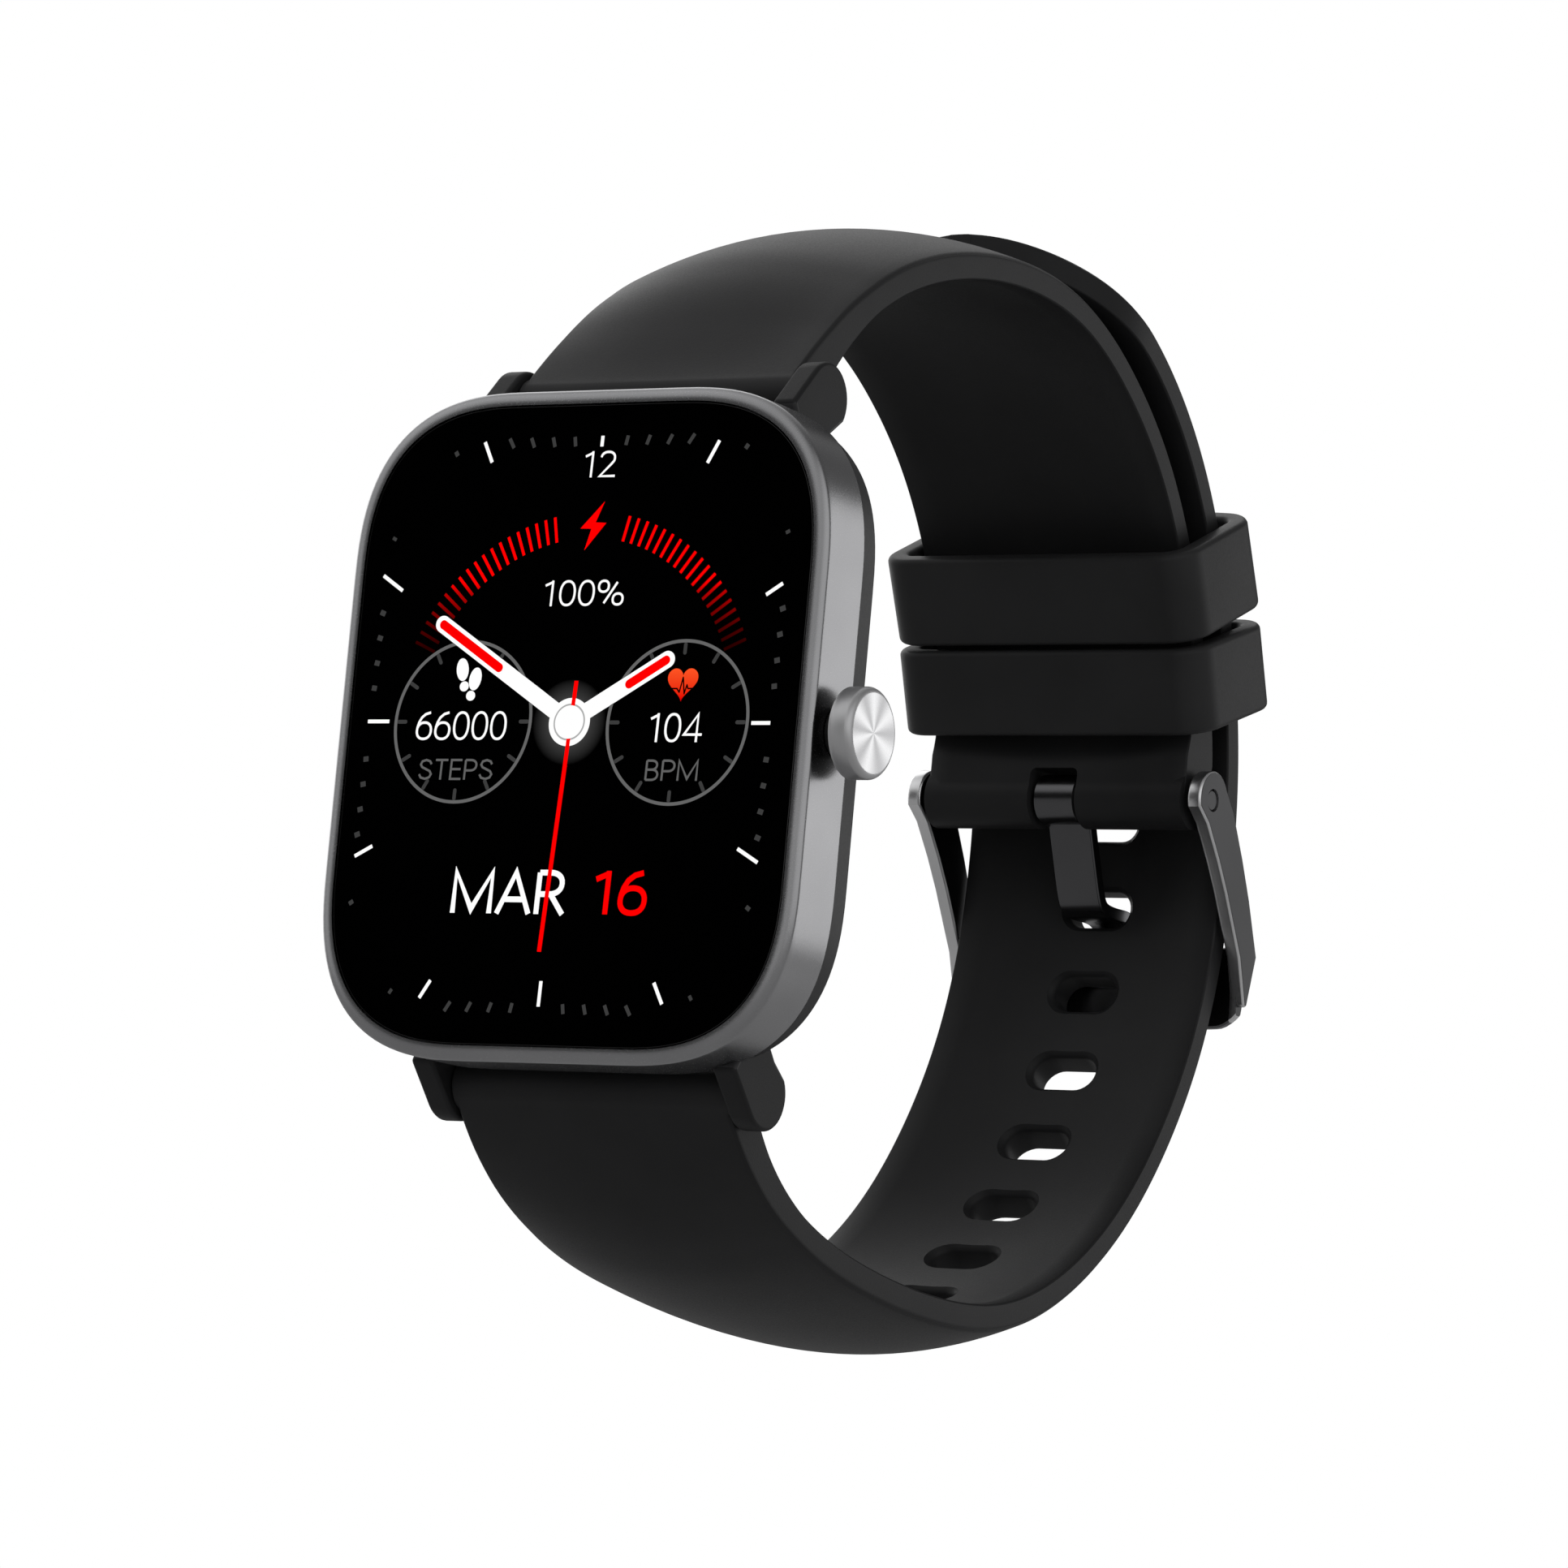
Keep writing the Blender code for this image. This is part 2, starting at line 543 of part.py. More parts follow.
def make_spring_bar(up, sign):
    def at(x):
        return (x, BAR_DEPTH, sign * BAR_Z)
    tube = rod(f"{up}_bar_tube", at(-BAR_HALF), at(BAR_HALF), BAR_RADIUS, STEEL, sides=20)
    bore = rod(f"{up}_tube_bore", at(-12), at(12), BAR_BORE, sides=16)
    cut(tube, bore, lever_slot(f"{up}_tube_slot", sign, 0.45, 2.0))
    rod(f"{up}_bar_fixed_pin", at(-BAR_PIN_END), at(-8.0), BAR_PIN_RADIUS, STEEL, sides=12, edge=0.1)
    pin = rod(f"{up}_bar_release_pin", at(4.0), at(BAR_PIN_END), BAR_PIN_RADIUS, STEEL, sides=12)
    tip = lever_line(sign, 2.1)
    join(pin, rod(f"{up}_lever", at(LEVER_X), (LEVER_X, tip[0], tip[1]), 0.32, sides=12))
    turns, per_turn, start, end = 12, 8, -7.7, 2.5
    coil = bpy.data.curves.new(f"{up}_bar_spring", "CURVE")
    coil.dimensions = "3D"
    coil.bevel_depth = 0.1 * MM
    coil.bevel_resolution = 0
    coil.use_fill_caps = True
    wire = coil.splines.new("POLY")
    count = turns * per_turn
    wire.points.add(count)
    for i, point in enumerate(wire.points):
        turn = 2 * math.pi * i / per_turn
        spot = world(start + (end - start) * i / count, BAR_DEPTH + 0.3 * math.cos(turn),
                     sign * BAR_Z + 0.3 * math.sin(turn))
        point.co = (*spot, 1.0)
    made = bpy.data.objects.new(coil.name, coil)
    WATCH.objects.link(made)
    coil.materials.append(material(coil.name, STEEL))


def pin_rod(name, half, radius, look=None, sides=20, edge=0.0):
    """A cylinder on the buckle pin's axis, in the middle of the strap's width."""
    return rod(name, (-half, PIN_DEPTH, PIN_Z), (half, PIN_DEPTH, PIN_Z), radius, look, sides, edge)


def make_upper_strap():
    path = spline(UPPER_PATH)
    length = path[0][-1]
    def thick(s):
        return max(lug_thick(s), float(np.interp(length - s, PIN_END_DISTANCE, PIN_END_THICK)))
    def lift(s):
        return smooth(s / ARCH_RISE) * smooth((length - 1.2 - s) / 6)
    stations = np.concatenate([np.arange(0, length - 8, STATION_STEP), np.linspace(length - 7, length, 6)])
    strap = ribbon("upper_strap", path, 1, stations, thick, lift, lambda s: STRAP_HALF, BLACK_RUBBER)
    bar_barrel(strap, "upper", 1)
    join(strap, pin_rod("pin_barrel", STRAP_HALF - 0.03, BARREL_RADIUS, sides=32))
    notch = block("tongue_notch", (-NOTCH_HALF, 62, 2), (NOTCH_HALF, 71, NOTCH_TOP))
    cut(strap, notch, pin_rod("pin_bore", 13, PIN_RADIUS + CLEARANCE))


def hole_outline():
    straight = HOLE_HALF_X - HOLE_HALF_S
    right = arc((straight, 0.0), HOLE_HALF_S, -90, 90, 6)
    return right + [(-x, -z) for x, z in right]


def make_lower_strap():
    path = spline(LOWER_PATH)
    length = path[0][-1]
    def half(s):
        past = max(s - (length - TAIL_ROUND), 0.0) / TAIL_ROUND
        return STRAP_HALF * math.sqrt(max(1 - past ** 2, 0.02))
    def lift(s):
        return smooth(s / ARCH_RISE)
    tail = length - TAIL_ROUND * (1 - np.sin(np.linspace(0, 1, 9)[1:] * math.pi / 2))
    stations = np.concatenate([np.arange(0, length - TAIL_ROUND, STATION_STEP), tail])
    strap = ribbon("lower_strap", path, -1, stations, lug_thick, lift, half, BLACK_RUBBER)
    bar_barrel(strap, "lower", -1)
    for i in range(HOLE_COUNT):
        place, ahead, normal = frame_at(path, HOLE_FIRST + HOLE_PITCH * i, -1)
        middle = place + normal * STRAP_ARCH
        turn = Matrix(((1, 0, 0), (0, ahead[0], -ahead[1]), (0, ahead[1], ahead[0])))
        cut(strap, extruded(f"strap_hole_{i + 1}", hole_outline(), turn, (0.0, *middle), 3.0))


def arched_outline(offset, level, centre, ahead):
    """A keeper's section at one level along the strap: a rounded rectangle, flat by the wrist and arched outside."""
    half_x = KEEPER_HALF_X - offset
    radius = max(KEEPER_RADIUS - offset, 0.9)
    flat = half_x - radius
    loop = []
    for side, half_n, arch in ((1, KEEPER_FAR - offset, KEEPER_ARCH), (-1, KEEPER_NEAR - offset, 0.0)):
        half_loop = arc((flat, half_n - radius), radius, 0, 90, 4)
        half_loop += [(flat * share, half_n) for share in (0.67, 0.33, 0.0, -0.33, -0.67)]
        half_loop += arc((-flat, half_n - radius), radius, 90, 180, 4)
        loop += [(side * x, side * n + arch * (1 - (x / KEEPER_HALF_X) ** 2)) for x, n in half_loop]
    ahead = np.array(ahead) / np.linalg.norm(ahead)
    normal = np.array((-ahead[1], ahead[0]))
    points = []
    for x, n in loop:
        depth, z = np.array(centre) + normal * n + ahead * level
        points.append((x, depth, z))
    return points


def make_keepers():
    soft = 0.35
    for name, centre, ahead, height in KEEPERS:
        reach = height / 2
        section = ((soft, -reach), (0.0, soft - reach), (0.0, reach - soft), (soft, reach),
                   (KEEPER_WALL - soft, reach), (KEEPER_WALL, reach - soft), (KEEPER_WALL, soft - reach),
                   (KEEPER_WALL - soft, -reach))
        rings = [arched_outline(offset, level, centre, ahead) for offset, level in section]
        loft(name, rings, BLACK_RUBBER, ring_closed=True)


def end_bar_section(x):
    """The end bar's side view at one place across it: it bows out over the strap, and its corners are round."""
    bow = STRAP_ARCH * max(1 - (x / ARM_INNER) ** 2, 0.0)
    past = max(abs(x) - (ARM_OUTER - END_BAR_CORNER), 0.0)
    low = END_BAR_LOW + END_BAR_CORNER - math.sqrt(max(END_BAR_CORNER ** 2 - past ** 2, 0.0))
    return [(x, 73.45 + bow, -4.2), (x, 75.0 + bow, -4.2), (x, 75.3 + bow, -4.7),
            (x, 74.3 + bow, low), (x, 73.7 + bow, low + 0.1)]


def make_buckle_frame():
    top = arc((PIN_DEPTH + 0.2, PIN_Z), BARREL_RADIUS, 200, 30, 9)
    outline = top + [(70.0, 5.4), (72.0, 2.1), (73.5, -0.7), (75.3, -4.7), (74.35, -8.6), (73.9, -8.6),
                     (72.6, -5.1), (71.2, -2.9), (69.8, -0.7), (68.2, 1.5), (66.2, 3.9)]
    frame = side_profile("buckle_frame", outline, ARM_INNER, ARM_OUTER, GUNMETAL)
    join(frame, side_profile("left_arm", outline, -ARM_OUTER, -ARM_INNER))
    places = [-11.9, -11.5, -11.0, -10.5, -10, -8, -6, -4, -2, 0, 2, 4, 6, 8, 10, 10.5, 11.0, 11.5, 11.9]
    join(frame, loft("end_bar", [end_bar_section(x) for x in places]))
    cut(frame, pin_rod("tongue_sweep", TONGUE_SLOT, TONGUE_REACH, sides=64),
        pin_rod("arm_bore", 14, PIN_RADIUS + CLEARANCE))


def make_tongue():
    """The tongue curls round the pin, drops to the strap, passes its hole and lies in the end bar's notch."""
    line = spline(((67.6, 5.2), (68.45, 3.17), (70.1, -0.15), (72.5, -1.95), (75.5, -2.25), (76.7, -3.5),
                   (76.8, -5.5)))
    stations = np.linspace(0, line[0][-1], 22)
    sides = {1: [], -1: []}
    for s in stations:
        place, _, normal = frame_at(line, s, 1)
        for side in sides:
            sides[side].append(tuple(place + normal * side * TONGUE_THICK / 2))
    tongue = side_profile("buckle_tongue", sides[1] + sides[-1][::-1], -TONGUE_HALF, TONGUE_HALF, GUNMETAL)
    join(tongue, pin_rod("tongue_curl", TONGUE_HALF, TONGUE_CURL, sides=28))
    cut(tongue, pin_rod("tongue_bore", 3, PIN_RADIUS + CLEARANCE))


make_front()
make_middle_frame()
make_back_cover()
make_crown()
make_electronics()
make_sensors()
make_upper_strap()
make_lower_strap()
for half_name, half_sign in (("upper", 1), ("lower", -1)):
    make_spring_bar(half_name, half_sign)
make_keepers()
make_buckle_frame()
make_tongue()
pin_rod("buckle_pin", PIN_HALF, PIN_RADIUS, STEEL, edge=0.1)
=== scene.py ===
"""Looks of a smartwatch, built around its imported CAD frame.

Lengths are in millimetres and a point is (x, depth, z), as in the CAD: x towards the crown, depth from the
front of the glass towards the wrist, z towards 12 o'clock. world() turns a point into metres.
"""

import math

import bmesh
import bpy
import numpy as np
from mathutils import Matrix, Vector

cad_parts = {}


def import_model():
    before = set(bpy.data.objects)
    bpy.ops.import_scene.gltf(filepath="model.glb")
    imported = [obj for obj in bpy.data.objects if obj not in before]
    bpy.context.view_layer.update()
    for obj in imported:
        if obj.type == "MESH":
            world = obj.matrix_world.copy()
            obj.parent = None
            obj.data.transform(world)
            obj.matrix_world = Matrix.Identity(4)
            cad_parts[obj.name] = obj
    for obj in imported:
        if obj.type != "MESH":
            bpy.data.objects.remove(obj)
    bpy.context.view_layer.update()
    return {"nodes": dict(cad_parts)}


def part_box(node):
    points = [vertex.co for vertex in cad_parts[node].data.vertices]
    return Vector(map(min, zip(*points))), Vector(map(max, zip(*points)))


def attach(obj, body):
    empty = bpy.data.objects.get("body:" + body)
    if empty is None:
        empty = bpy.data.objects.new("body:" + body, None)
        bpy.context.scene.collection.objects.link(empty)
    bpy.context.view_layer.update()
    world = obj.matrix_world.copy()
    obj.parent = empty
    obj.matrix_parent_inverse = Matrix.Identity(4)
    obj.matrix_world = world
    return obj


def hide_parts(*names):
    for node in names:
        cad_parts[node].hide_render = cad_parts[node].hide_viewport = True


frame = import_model()

MM = 0.001
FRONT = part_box("front_glass")[0].y


def span(node, axis):
    """A CAD node's lowest and highest millimetre along an axis: 0 for x, 1 for depth, 2 for z."""
    low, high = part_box(node)
    shift = FRONT if axis == 1 else 0.0
    return (low[axis] - shift) / MM, (high[axis] - shift) / MM


def middle(node, axis):
    return sum(span(node, axis)) / 2


def half_height(node):
    low, high = span(node, 2)
    return (high - low) / 2


# Case, read from the CAD frame where a node gives the size
CORNER_POWER = 2.64
CORNER_STEPS = 28
FRAME_HALF_X = span("middle_frame", 0)[1]
FRAME_HALF_Z = span("middle_frame", 2)[1]
FRAME_BACK = span("middle_frame", 1)[1]
FRAME_RADIUS = 12.7
GLASS_INSET = FRAME_HALF_X - span("front_glass", 0)[1]
GLASS_THICK = span("front_glass", 1)[1]
CASE_DEPTH = span("sensor_window", 1)[1]
COVER_FRONT = span("back_cover", 1)[0]
BAR_DEPTH = middle("upper_bar_tube", 1)
BAR_Z = middle("upper_bar_tube", 2)
LUG_OUTER = 12.9
LUG_INNER = 11.1
LUG_START_Z = 22.2
STRAP_HALF = span("upper_strap", 0)[1]
WINDOW_RADIUS = span("sensor_window", 0)[1]
WINDOW_FRONT = 8.35
CROWN_DEPTH = middle("crown_knob", 1)
CROWN_Z = middle("crown_knob", 2)
CROWN_RADIUS = half_height("crown_knob")
CROWN_BASE, CROWN_END = span("crown_knob", 0)
PIN_DEPTH = middle("buckle_pin", 1)
PIN_Z = middle("buckle_pin", 2)
PIN_RADIUS = half_height("buckle_pin")
PIN_BORE = PIN_RADIUS + 0.05
END_BAR_LOW = -10.2
ARM_INNER = 11.35
ARM_OUTER = span("buckle_frame", 0)[1]

# Profiles of the case: (inset, depth) for the frame's front lip, and (inset x, inset z, radius, depth) or
# (half x, half z, radius, depth) for the outlines that the cover is made of
FRAME_LIP = ((1.0, 0.0), (0.85, 0.004), (0.7, 0.02), (0.55, 0.05), (0.4, 0.095), (0.28, 0.15), (0.18, 0.215),
             (0.1, 0.29), (0.04, 0.38), (0.01, 0.47), (0.0, 0.58), (0.0, 0.9))
COVER_HALF_X = 18.75
COVER_HALF_Z = 22.1
BULGE_BACK = 8.8
COVER_EDGE = ((0.1, 0.1, 12.3, COVER_FRONT), (0.0, 0.0, 12.4, COVER_FRONT + 0.1), (0.0, 0.0, 12.4, 6.25),
              (0.08, 0.08, 12.3, 6.5), (0.32, 0.34, 12.1, 6.75), (0.8, 0.85, 11.6, 7.02))
COVER_BULGE = ((14.75, 18.05, 8.9, 8.45), (14.3, 17.6, 8.6, 8.64), (13.9, 17.2, 8.3, 8.74),
               (13.3, 16.6, 7.9, BULGE_BACK))
COVER_HOLLOW = ((16.64, 20.46, 10.3, 4.0), (16.64, 20.46, 10.3, 6.0), (12.6, 15.9, 8.0, 7.7))
# Crown's outer edge: how far back from the end face, and how far in from the side
CROWN_EDGE = ((0.46, 0.0), (0.36, 0.015), (0.24, 0.07), (0.13, 0.16), (0.05, 0.28), (0.01, 0.4), (0.0, 0.5),
              (0.0, 1.9))

# Strap, as in the CAD: the edge path of each half, and the arch across its width
STRAP_ARCH = 2.1
INNER_ARCH = 1.7
ARCH_RISE = 15.0
BEVEL_BAND = 1.2
LUG_THICK = 3.7
STRAP_THICK = 2.25
PIN_END_DISTANCE = (1, 3, 5, 7, 12)
PIN_END_THICK = (4.3, 4.6, 3.9, 3.3, STRAP_THICK)
TAIL_ROUND = 10.9
UPPER_PATH = ((8.1, 23.4), (9.9, 25.6), (14.9, 30.6), (20.6, 34.2), (28.8, 37.0), (37.4, 38.0), (45.6, 36.9),
              (52.4, 33.6), (57.5, 29.5), (62.3, 23.2), (65.7, 15.5), (66.9, 9.8), (66.6, 5.7))
LOWER_PATH = ((8.1, -23.4), (9.7, -25.6), (13.0, -28.8), (19.2, -31.95), (27.8, -33.95), (37.0, -34.8),
              (45.4, -34.2), (53.9, -30.95), (60.4, -26.2), (66.1, -19.4), (69.9, -12.2), (71.9, -5.0),
              (72.5, 2.0), (71.7, 11.4), (69.6, 18.4), (66.0, 25.9), (61.5, 31.8), (56.0, 36.3), (49.5, 39.3),
              (44.0, 40.4))
HOLE_COUNT = 11
HOLE_FIRST = 47.2
HOLE_PITCH = 6.48
HOLE_HALF_X = 2.6
HOLE_HALF_S = 1.375

# Keepers, as in the CAD
KEEPER_HALF_X = span("keeper_upper", 0)[1]
KEEPER_FAR = 5.75
KEEPER_NEAR = 6.35
KEEPER_WALL = 1.7
KEEPER_RADIUS = 2.75
KEEPER_ARCH = 1.95
KEEPERS = (
    ("keeper_upper", "keeper_high", (65.2, 22.05), (0.44, -0.90), 6.7),
    ("keeper_lower", "keeper_low", (68.0, 15.15), (0.36, -0.93), 6.4),
)

# Camera: its direction in degrees, its distance and aim in millimetres, and its lens
AZIMUTH = 32.17
ELEVATION = -7.84
ROLL = 5.12
DISTANCE = 465.0
AIM_RIGHT = 14.26
AIM_UP = -4.03
LENS = 161.16

# Studio: the depth of the strap loop's middle, which the light card faces, and the floor's height in metres
LOOP_MIDDLE = 35
FLOOR_Z = -0.13

# Display picture: each layer is a thin sheet on the glass
GLASS_FACE = 0.05
LAYER = 0.008
DIAL_LEAN = 0.0235


def world(x, depth, z):
    return Vector((x * MM, FRONT + depth * MM, z * MM))


def on_glass(x, depth, z):
    """A point of the display picture, which leans a little to the right."""
    return world(x + DIAL_LEAN * z, depth, z)


# ---------- mesh tools

def add_mesh(name, work, smooth_angle=38):
    bmesh.ops.recalc_face_normals(work, faces=work.faces)
    mesh = bpy.data.meshes.new(name)
    work.to_mesh(mesh)
    work.free()
    mesh.shade_smooth()
    mesh.set_sharp_from_angle(angle=math.radians(smooth_angle))
    made = bpy.data.objects.new(name, mesh)
    bpy.context.scene.collection.objects.link(made)
    return made


def add_walls(work, near, far):
    """Four-sided faces between two closed rows of vertices."""
    for i in range(len(near)):
        j = (i + 1) % len(near)
        work.faces.new((near[i], near[j], far[j], far[i]))


def add_slab(work, near, far):
    """A closed solid between two outlines that hold the same number of points."""
    rows = [[work.verts.new(point) for point in outline] for outline in (near, far)]
    work.faces.new(rows[0])
    work.faces.new(rows[1])
    add_walls(work, *rows)


def loft(name, rings, ring_closed=False, smooth_angle=38):
    """Joins outlines that hold the same number of points: capped at both ends, or closed into a loop."""
    work = bmesh.new()
    rows = [[work.verts.new(world(*point)) for point in ring] for ring in rings]
    pairs = list(zip(rows, rows[1:]))
    if ring_closed:
        pairs.append((rows[-1], rows[0]))
    else:
        work.faces.new(rows[0])
        work.faces.new(rows[-1])
    for near, far in pairs:
        add_walls(work, near, far)
    return add_mesh(name, work, smooth_angle)


def axis_frame(start, end):
    """The start of an axis, its direction, and two directions across it."""
    start, end = np.array(start, float), np.array(end, float)
    along = (end - start) / np.linalg.norm(end - start)
    side = np.cross(along, (0, 0, 1) if abs(along[2]) < 0.9 else (1, 0, 0))
    side /= np.linalg.norm(side)
    return start, along, side, np.cross(along, side)


def turned(name, profile, start, end, steps):
    """Turns a profile of (height, radius) about the axis from start towards end."""
    origin, along, side, up = axis_frame(start, end)
    turns = [2 * math.pi * i / steps for i in range(steps)]
    spokes = [side * math.cos(turn) + up * math.sin(turn) for turn in turns]
    rings = [[origin + along * height + ray * radius for ray in spokes] for height, radius in profile]
    return loft(name, rings)


def rod(name, start, end, radius, steps=48, edge=0.0):
    length = float(np.linalg.norm(np.subtract(end, start)))
    profile = [(0.0, radius - edge), (edge, radius), (length - edge, radius), (length, radius - edge)]
    return turned(name, profile if edge else [(0.0, radius), (length, radius)], start, end, steps)


def prism(name, outline, low, high, to_point, edge=0.0):
    """A flat outline given a thickness; to_point places (u, v, level)."""
    work = bmesh.new()
    add_slab(work, *[[world(*to_point(u, v, level)) for u, v in outline] for level in (low, high)])
    made = add_mesh(name, work)
    if edge:
        bevel = made.modifiers.new("edges", "BEVEL")
        bevel.width = edge * MM
        bevel.segments = 4
        bevel.limit_method = "ANGLE"
        bevel.angle_limit = math.radians(40)
        bake_modifiers(made)
    return made


def side_prism(name, outline, x_low, x_high, edge=0.0):
    """A (depth, z) outline given a thickness along x."""
    return prism(name, outline, x_low, x_high, lambda u, v, level: (level, u, v), edge)


def bake_modifiers(piece):
    bpy.context.view_layer.update()
    shaped = bpy.data.meshes.new_from_object(piece.evaluated_get(bpy.context.evaluated_depsgraph_get()))
    piece.modifiers.clear()
    piece.data = shaped


def boolean(piece, tools, operation):
    for tool in tools:
        step = piece.modifiers.new(tool.name, "BOOLEAN")
        step.operation = operation
        step.solver = "EXACT"
        step.object = tool
    bake_modifiers(piece)
    bpy.context.view_layer.update()
    for tool in tools:
        bpy.data.objects.remove(tool, do_unlink=True)


def settle_shading(piece, angle):
    """Smooth shading up to an angle. Large faces lead the normals, so flat faces stay flat."""
    piece.data.shade_smooth()
    piece.data.set_sharp_from_angle(angle=math.radians(angle))
    weigh = piece.modifiers.new("normals", "WEIGHTED_NORMAL")
    weigh.keep_sharp = True
    weigh.weight = 80
    bake_modifiers(piece)


def arc(centre, radius, start, end, steps):
    angles = [math.radians(start + (end - start) * i / steps) for i in range(steps + 1)]
    return [(centre[0] + radius * math.cos(a), centre[1] + radius * math.sin(a)) for a in angles]


def rounded(half_x, half_z, radius, depth, steps=CORNER_STEPS):
    """A rounded rectangle with superellipse corners, facing the display's way."""
    power = 2 / CORNER_POWER
    points = []
    for quarter in range(4):
        for step in range(steps + 1):
            turn = math.pi / 2 * step / steps
            reach = (radius * math.cos(turn) ** power, radius * math.sin(turn) ** power)
            across, up = reach if quarter % 2 == 0 else reach[::-1]
            sign_x = 1 if quarter in (0, 3) else -1
            sign_z = 1 if quarter in (0, 1) else -1
            points.append((sign_x * (half_x - radius + across), depth, sign_z * (half_z - radius + up)))
    return points


def inset(offset, depth):
    return rounded(FRAME_HALF_X - offset, FRAME_HALF_Z - offset, FRAME_RADIUS - offset, depth)


# ---------- materials

def feed(tree, socket, value):
    """Links an input to another node's output, or gives it its own value."""
    if isinstance(value, bpy.types.NodeSocket):
        tree.links.new(value, socket)
    else:
        socket.default_value = value


def feed_named(tree, step, **named):
    for name, value in named.items():
        feed(tree, step.inputs[name.replace("_", " ")], value)


def new_node(tree, kind, *inputs, **named):
    """A shader node, with its inputs given in their order or by name."""
    step = tree.nodes.new("ShaderNode" + kind)
    for socket, value in zip(step.inputs, inputs):
        feed(tree, socket, value)
    feed_named(tree, step, **named)
    return step


def new_material(name, colour, roughness, metallic=0.0, **sockets):
    made = bpy.data.materials.new(name)
    made.use_nodes = True
    tree = made.node_tree
    shader = tree.nodes["Principled BSDF"]
    feed_named(tree, shader, Base_Color=(*colour, 1.0), Roughness=roughness, Metallic=metallic, **sockets)
    return made, tree, shader


def object_place(tree):
    return new_node(tree, "TexCoord").outputs["Object"]


def noise(tree, scale, detail):
    """Noise in the object's own space, with its scale in features per millimetre."""
    step = new_node(tree, "TexNoise", Vector=object_place(tree), Scale=scale / MM, Detail=detail)
    return step.outputs["Fac"]


def vary(tree, factor, low, high):
    """A number that a texture moves between two values."""
    step = new_node(tree, "MapRange", factor, From_Min=0.3, From_Max=0.7, To_Min=low, To_Max=high)
    return step.outputs["Result"]


def colour_ramp(tree, factor, stops, interpolation="LINEAR"):
    """A colour read from (position, colour) stops: the ramp's own two are moved, and the rest added."""
    step = new_node(tree, "ValToRGB", factor)
    step.color_ramp.interpolation = interpolation
    elements = step.color_ramp.elements
    for i, (position, colour) in enumerate(stops):
        stop = elements[i] if i < 2 else elements.new(position)
        stop.position = position
        stop.color = (*colour, 1.0)
    return step.outputs["Color"]


def bump(tree, factor, distance):
    return new_node(tree, "Bump", Height=factor, Distance=distance * MM).outputs["Normal"]


def shade(colour, share):
    return tuple(share * part for part in colour)


def grained(name, colour, roughness, metallic=0.0, grain=6.0, depth=0.004, spread=0.12, **sockets):
    """A surface with a fine grain in its height and roughness, and a slow drift in its colour."""
    made, tree, shader = new_material(name, colour, roughness, metallic, **sockets)
    fine = noise(tree, grain, 3.0)
    stops = ((0.3, shade(colour, 1 - spread)), (0.7, shade(colour, 1 + spread)))
    feed_named(tree, shader, Base_Color=colour_ramp(tree, noise(tree, 0.12, 2.0), stops),
               Roughness=vary(tree, fine, roughness * (1 - spread), roughness * (1 + spread)),
               Normal=bump(tree, fine, depth))
    return made


def math_node(tree, operation, first, second):
    step = new_node(tree, "Math", first, second)
    step.operation = operation
    return step.outputs["Value"]


def painted_star_highlight_metal(name, dim, highlight_colour, highlight_arms, centre, roughness):
    """Metal faced on a lathe, with painted highlights: bright arms painted into its colour run out from the
    centre, at the given turns about the x axis.
    """
    made, tree, shader = new_material(name, dim, roughness, 1.0)
    split = new_node(tree, "SeparateXYZ", object_place(tree))
    across = math_node(tree, "SUBTRACT", split.outputs["Y"], centre[1])
    above = math_node(tree, "SUBTRACT", split.outputs["Z"], centre[2])
    turn_of_point = math_node(tree, "ARCTAN2", above, across)
    reach = new_node(tree, "MapRange", turn_of_point, From_Min=-math.pi, From_Max=math.pi)
    turns = sorted((turn + 180) % 360 for turn in highlight_arms)
    gaps = [(turn + after) / 2 for turn, after in zip(turns, turns[1:])]
    stops = [(turn, highlight_colour) for turn in turns] + [(turn, dim) for turn in gaps] + [(0, dim), (360, dim)]
    stops = [(turn / 360, colour) for turn, colour in sorted(stops)]
    fine = noise(tree, 8.0, 2.0)
    feed_named(tree, shader, Base_Color=colour_ramp(tree, reach.outputs["Result"], stops, "EASE"),
               Roughness=vary(tree, fine, roughness * 0.92, roughness * 1.08), Normal=bump(tree, fine, 0.002))
    return made


WHITE = (1.0, 1.0, 1.0)
RED = (1.0, 0.0, 0.0)
BLACK = (0.0, 0.0, 0.0)


def glow_parts(name, colour=WHITE, strength=1.0):
    """A material that shines with a colour and mirrors nothing, with its tree and shader."""
    return new_material(name, BLACK, 0.3, Emission_Color=(*colour, 1.0), Emission_Strength=strength,
                        Specular_IOR_Level=0.0)


def glowing(name, colour, strength=1.0):
    return glow_parts(name, colour, strength)[0]


def faded(name, stops, low, high):
    """A glowing colour that changes up the dial, from low to high millimetres."""
    made, tree, shader = glow_parts(name)
    split = new_node(tree, "SeparateXYZ", object_place(tree))
    reach = new_node(tree, "MapRange", split.outputs["Z"], From_Min=low * MM, From_Max=high * MM)
    feed(tree, shader.inputs["Emission Color"], colour_ramp(tree, reach.outputs["Result"], stops))
    return made


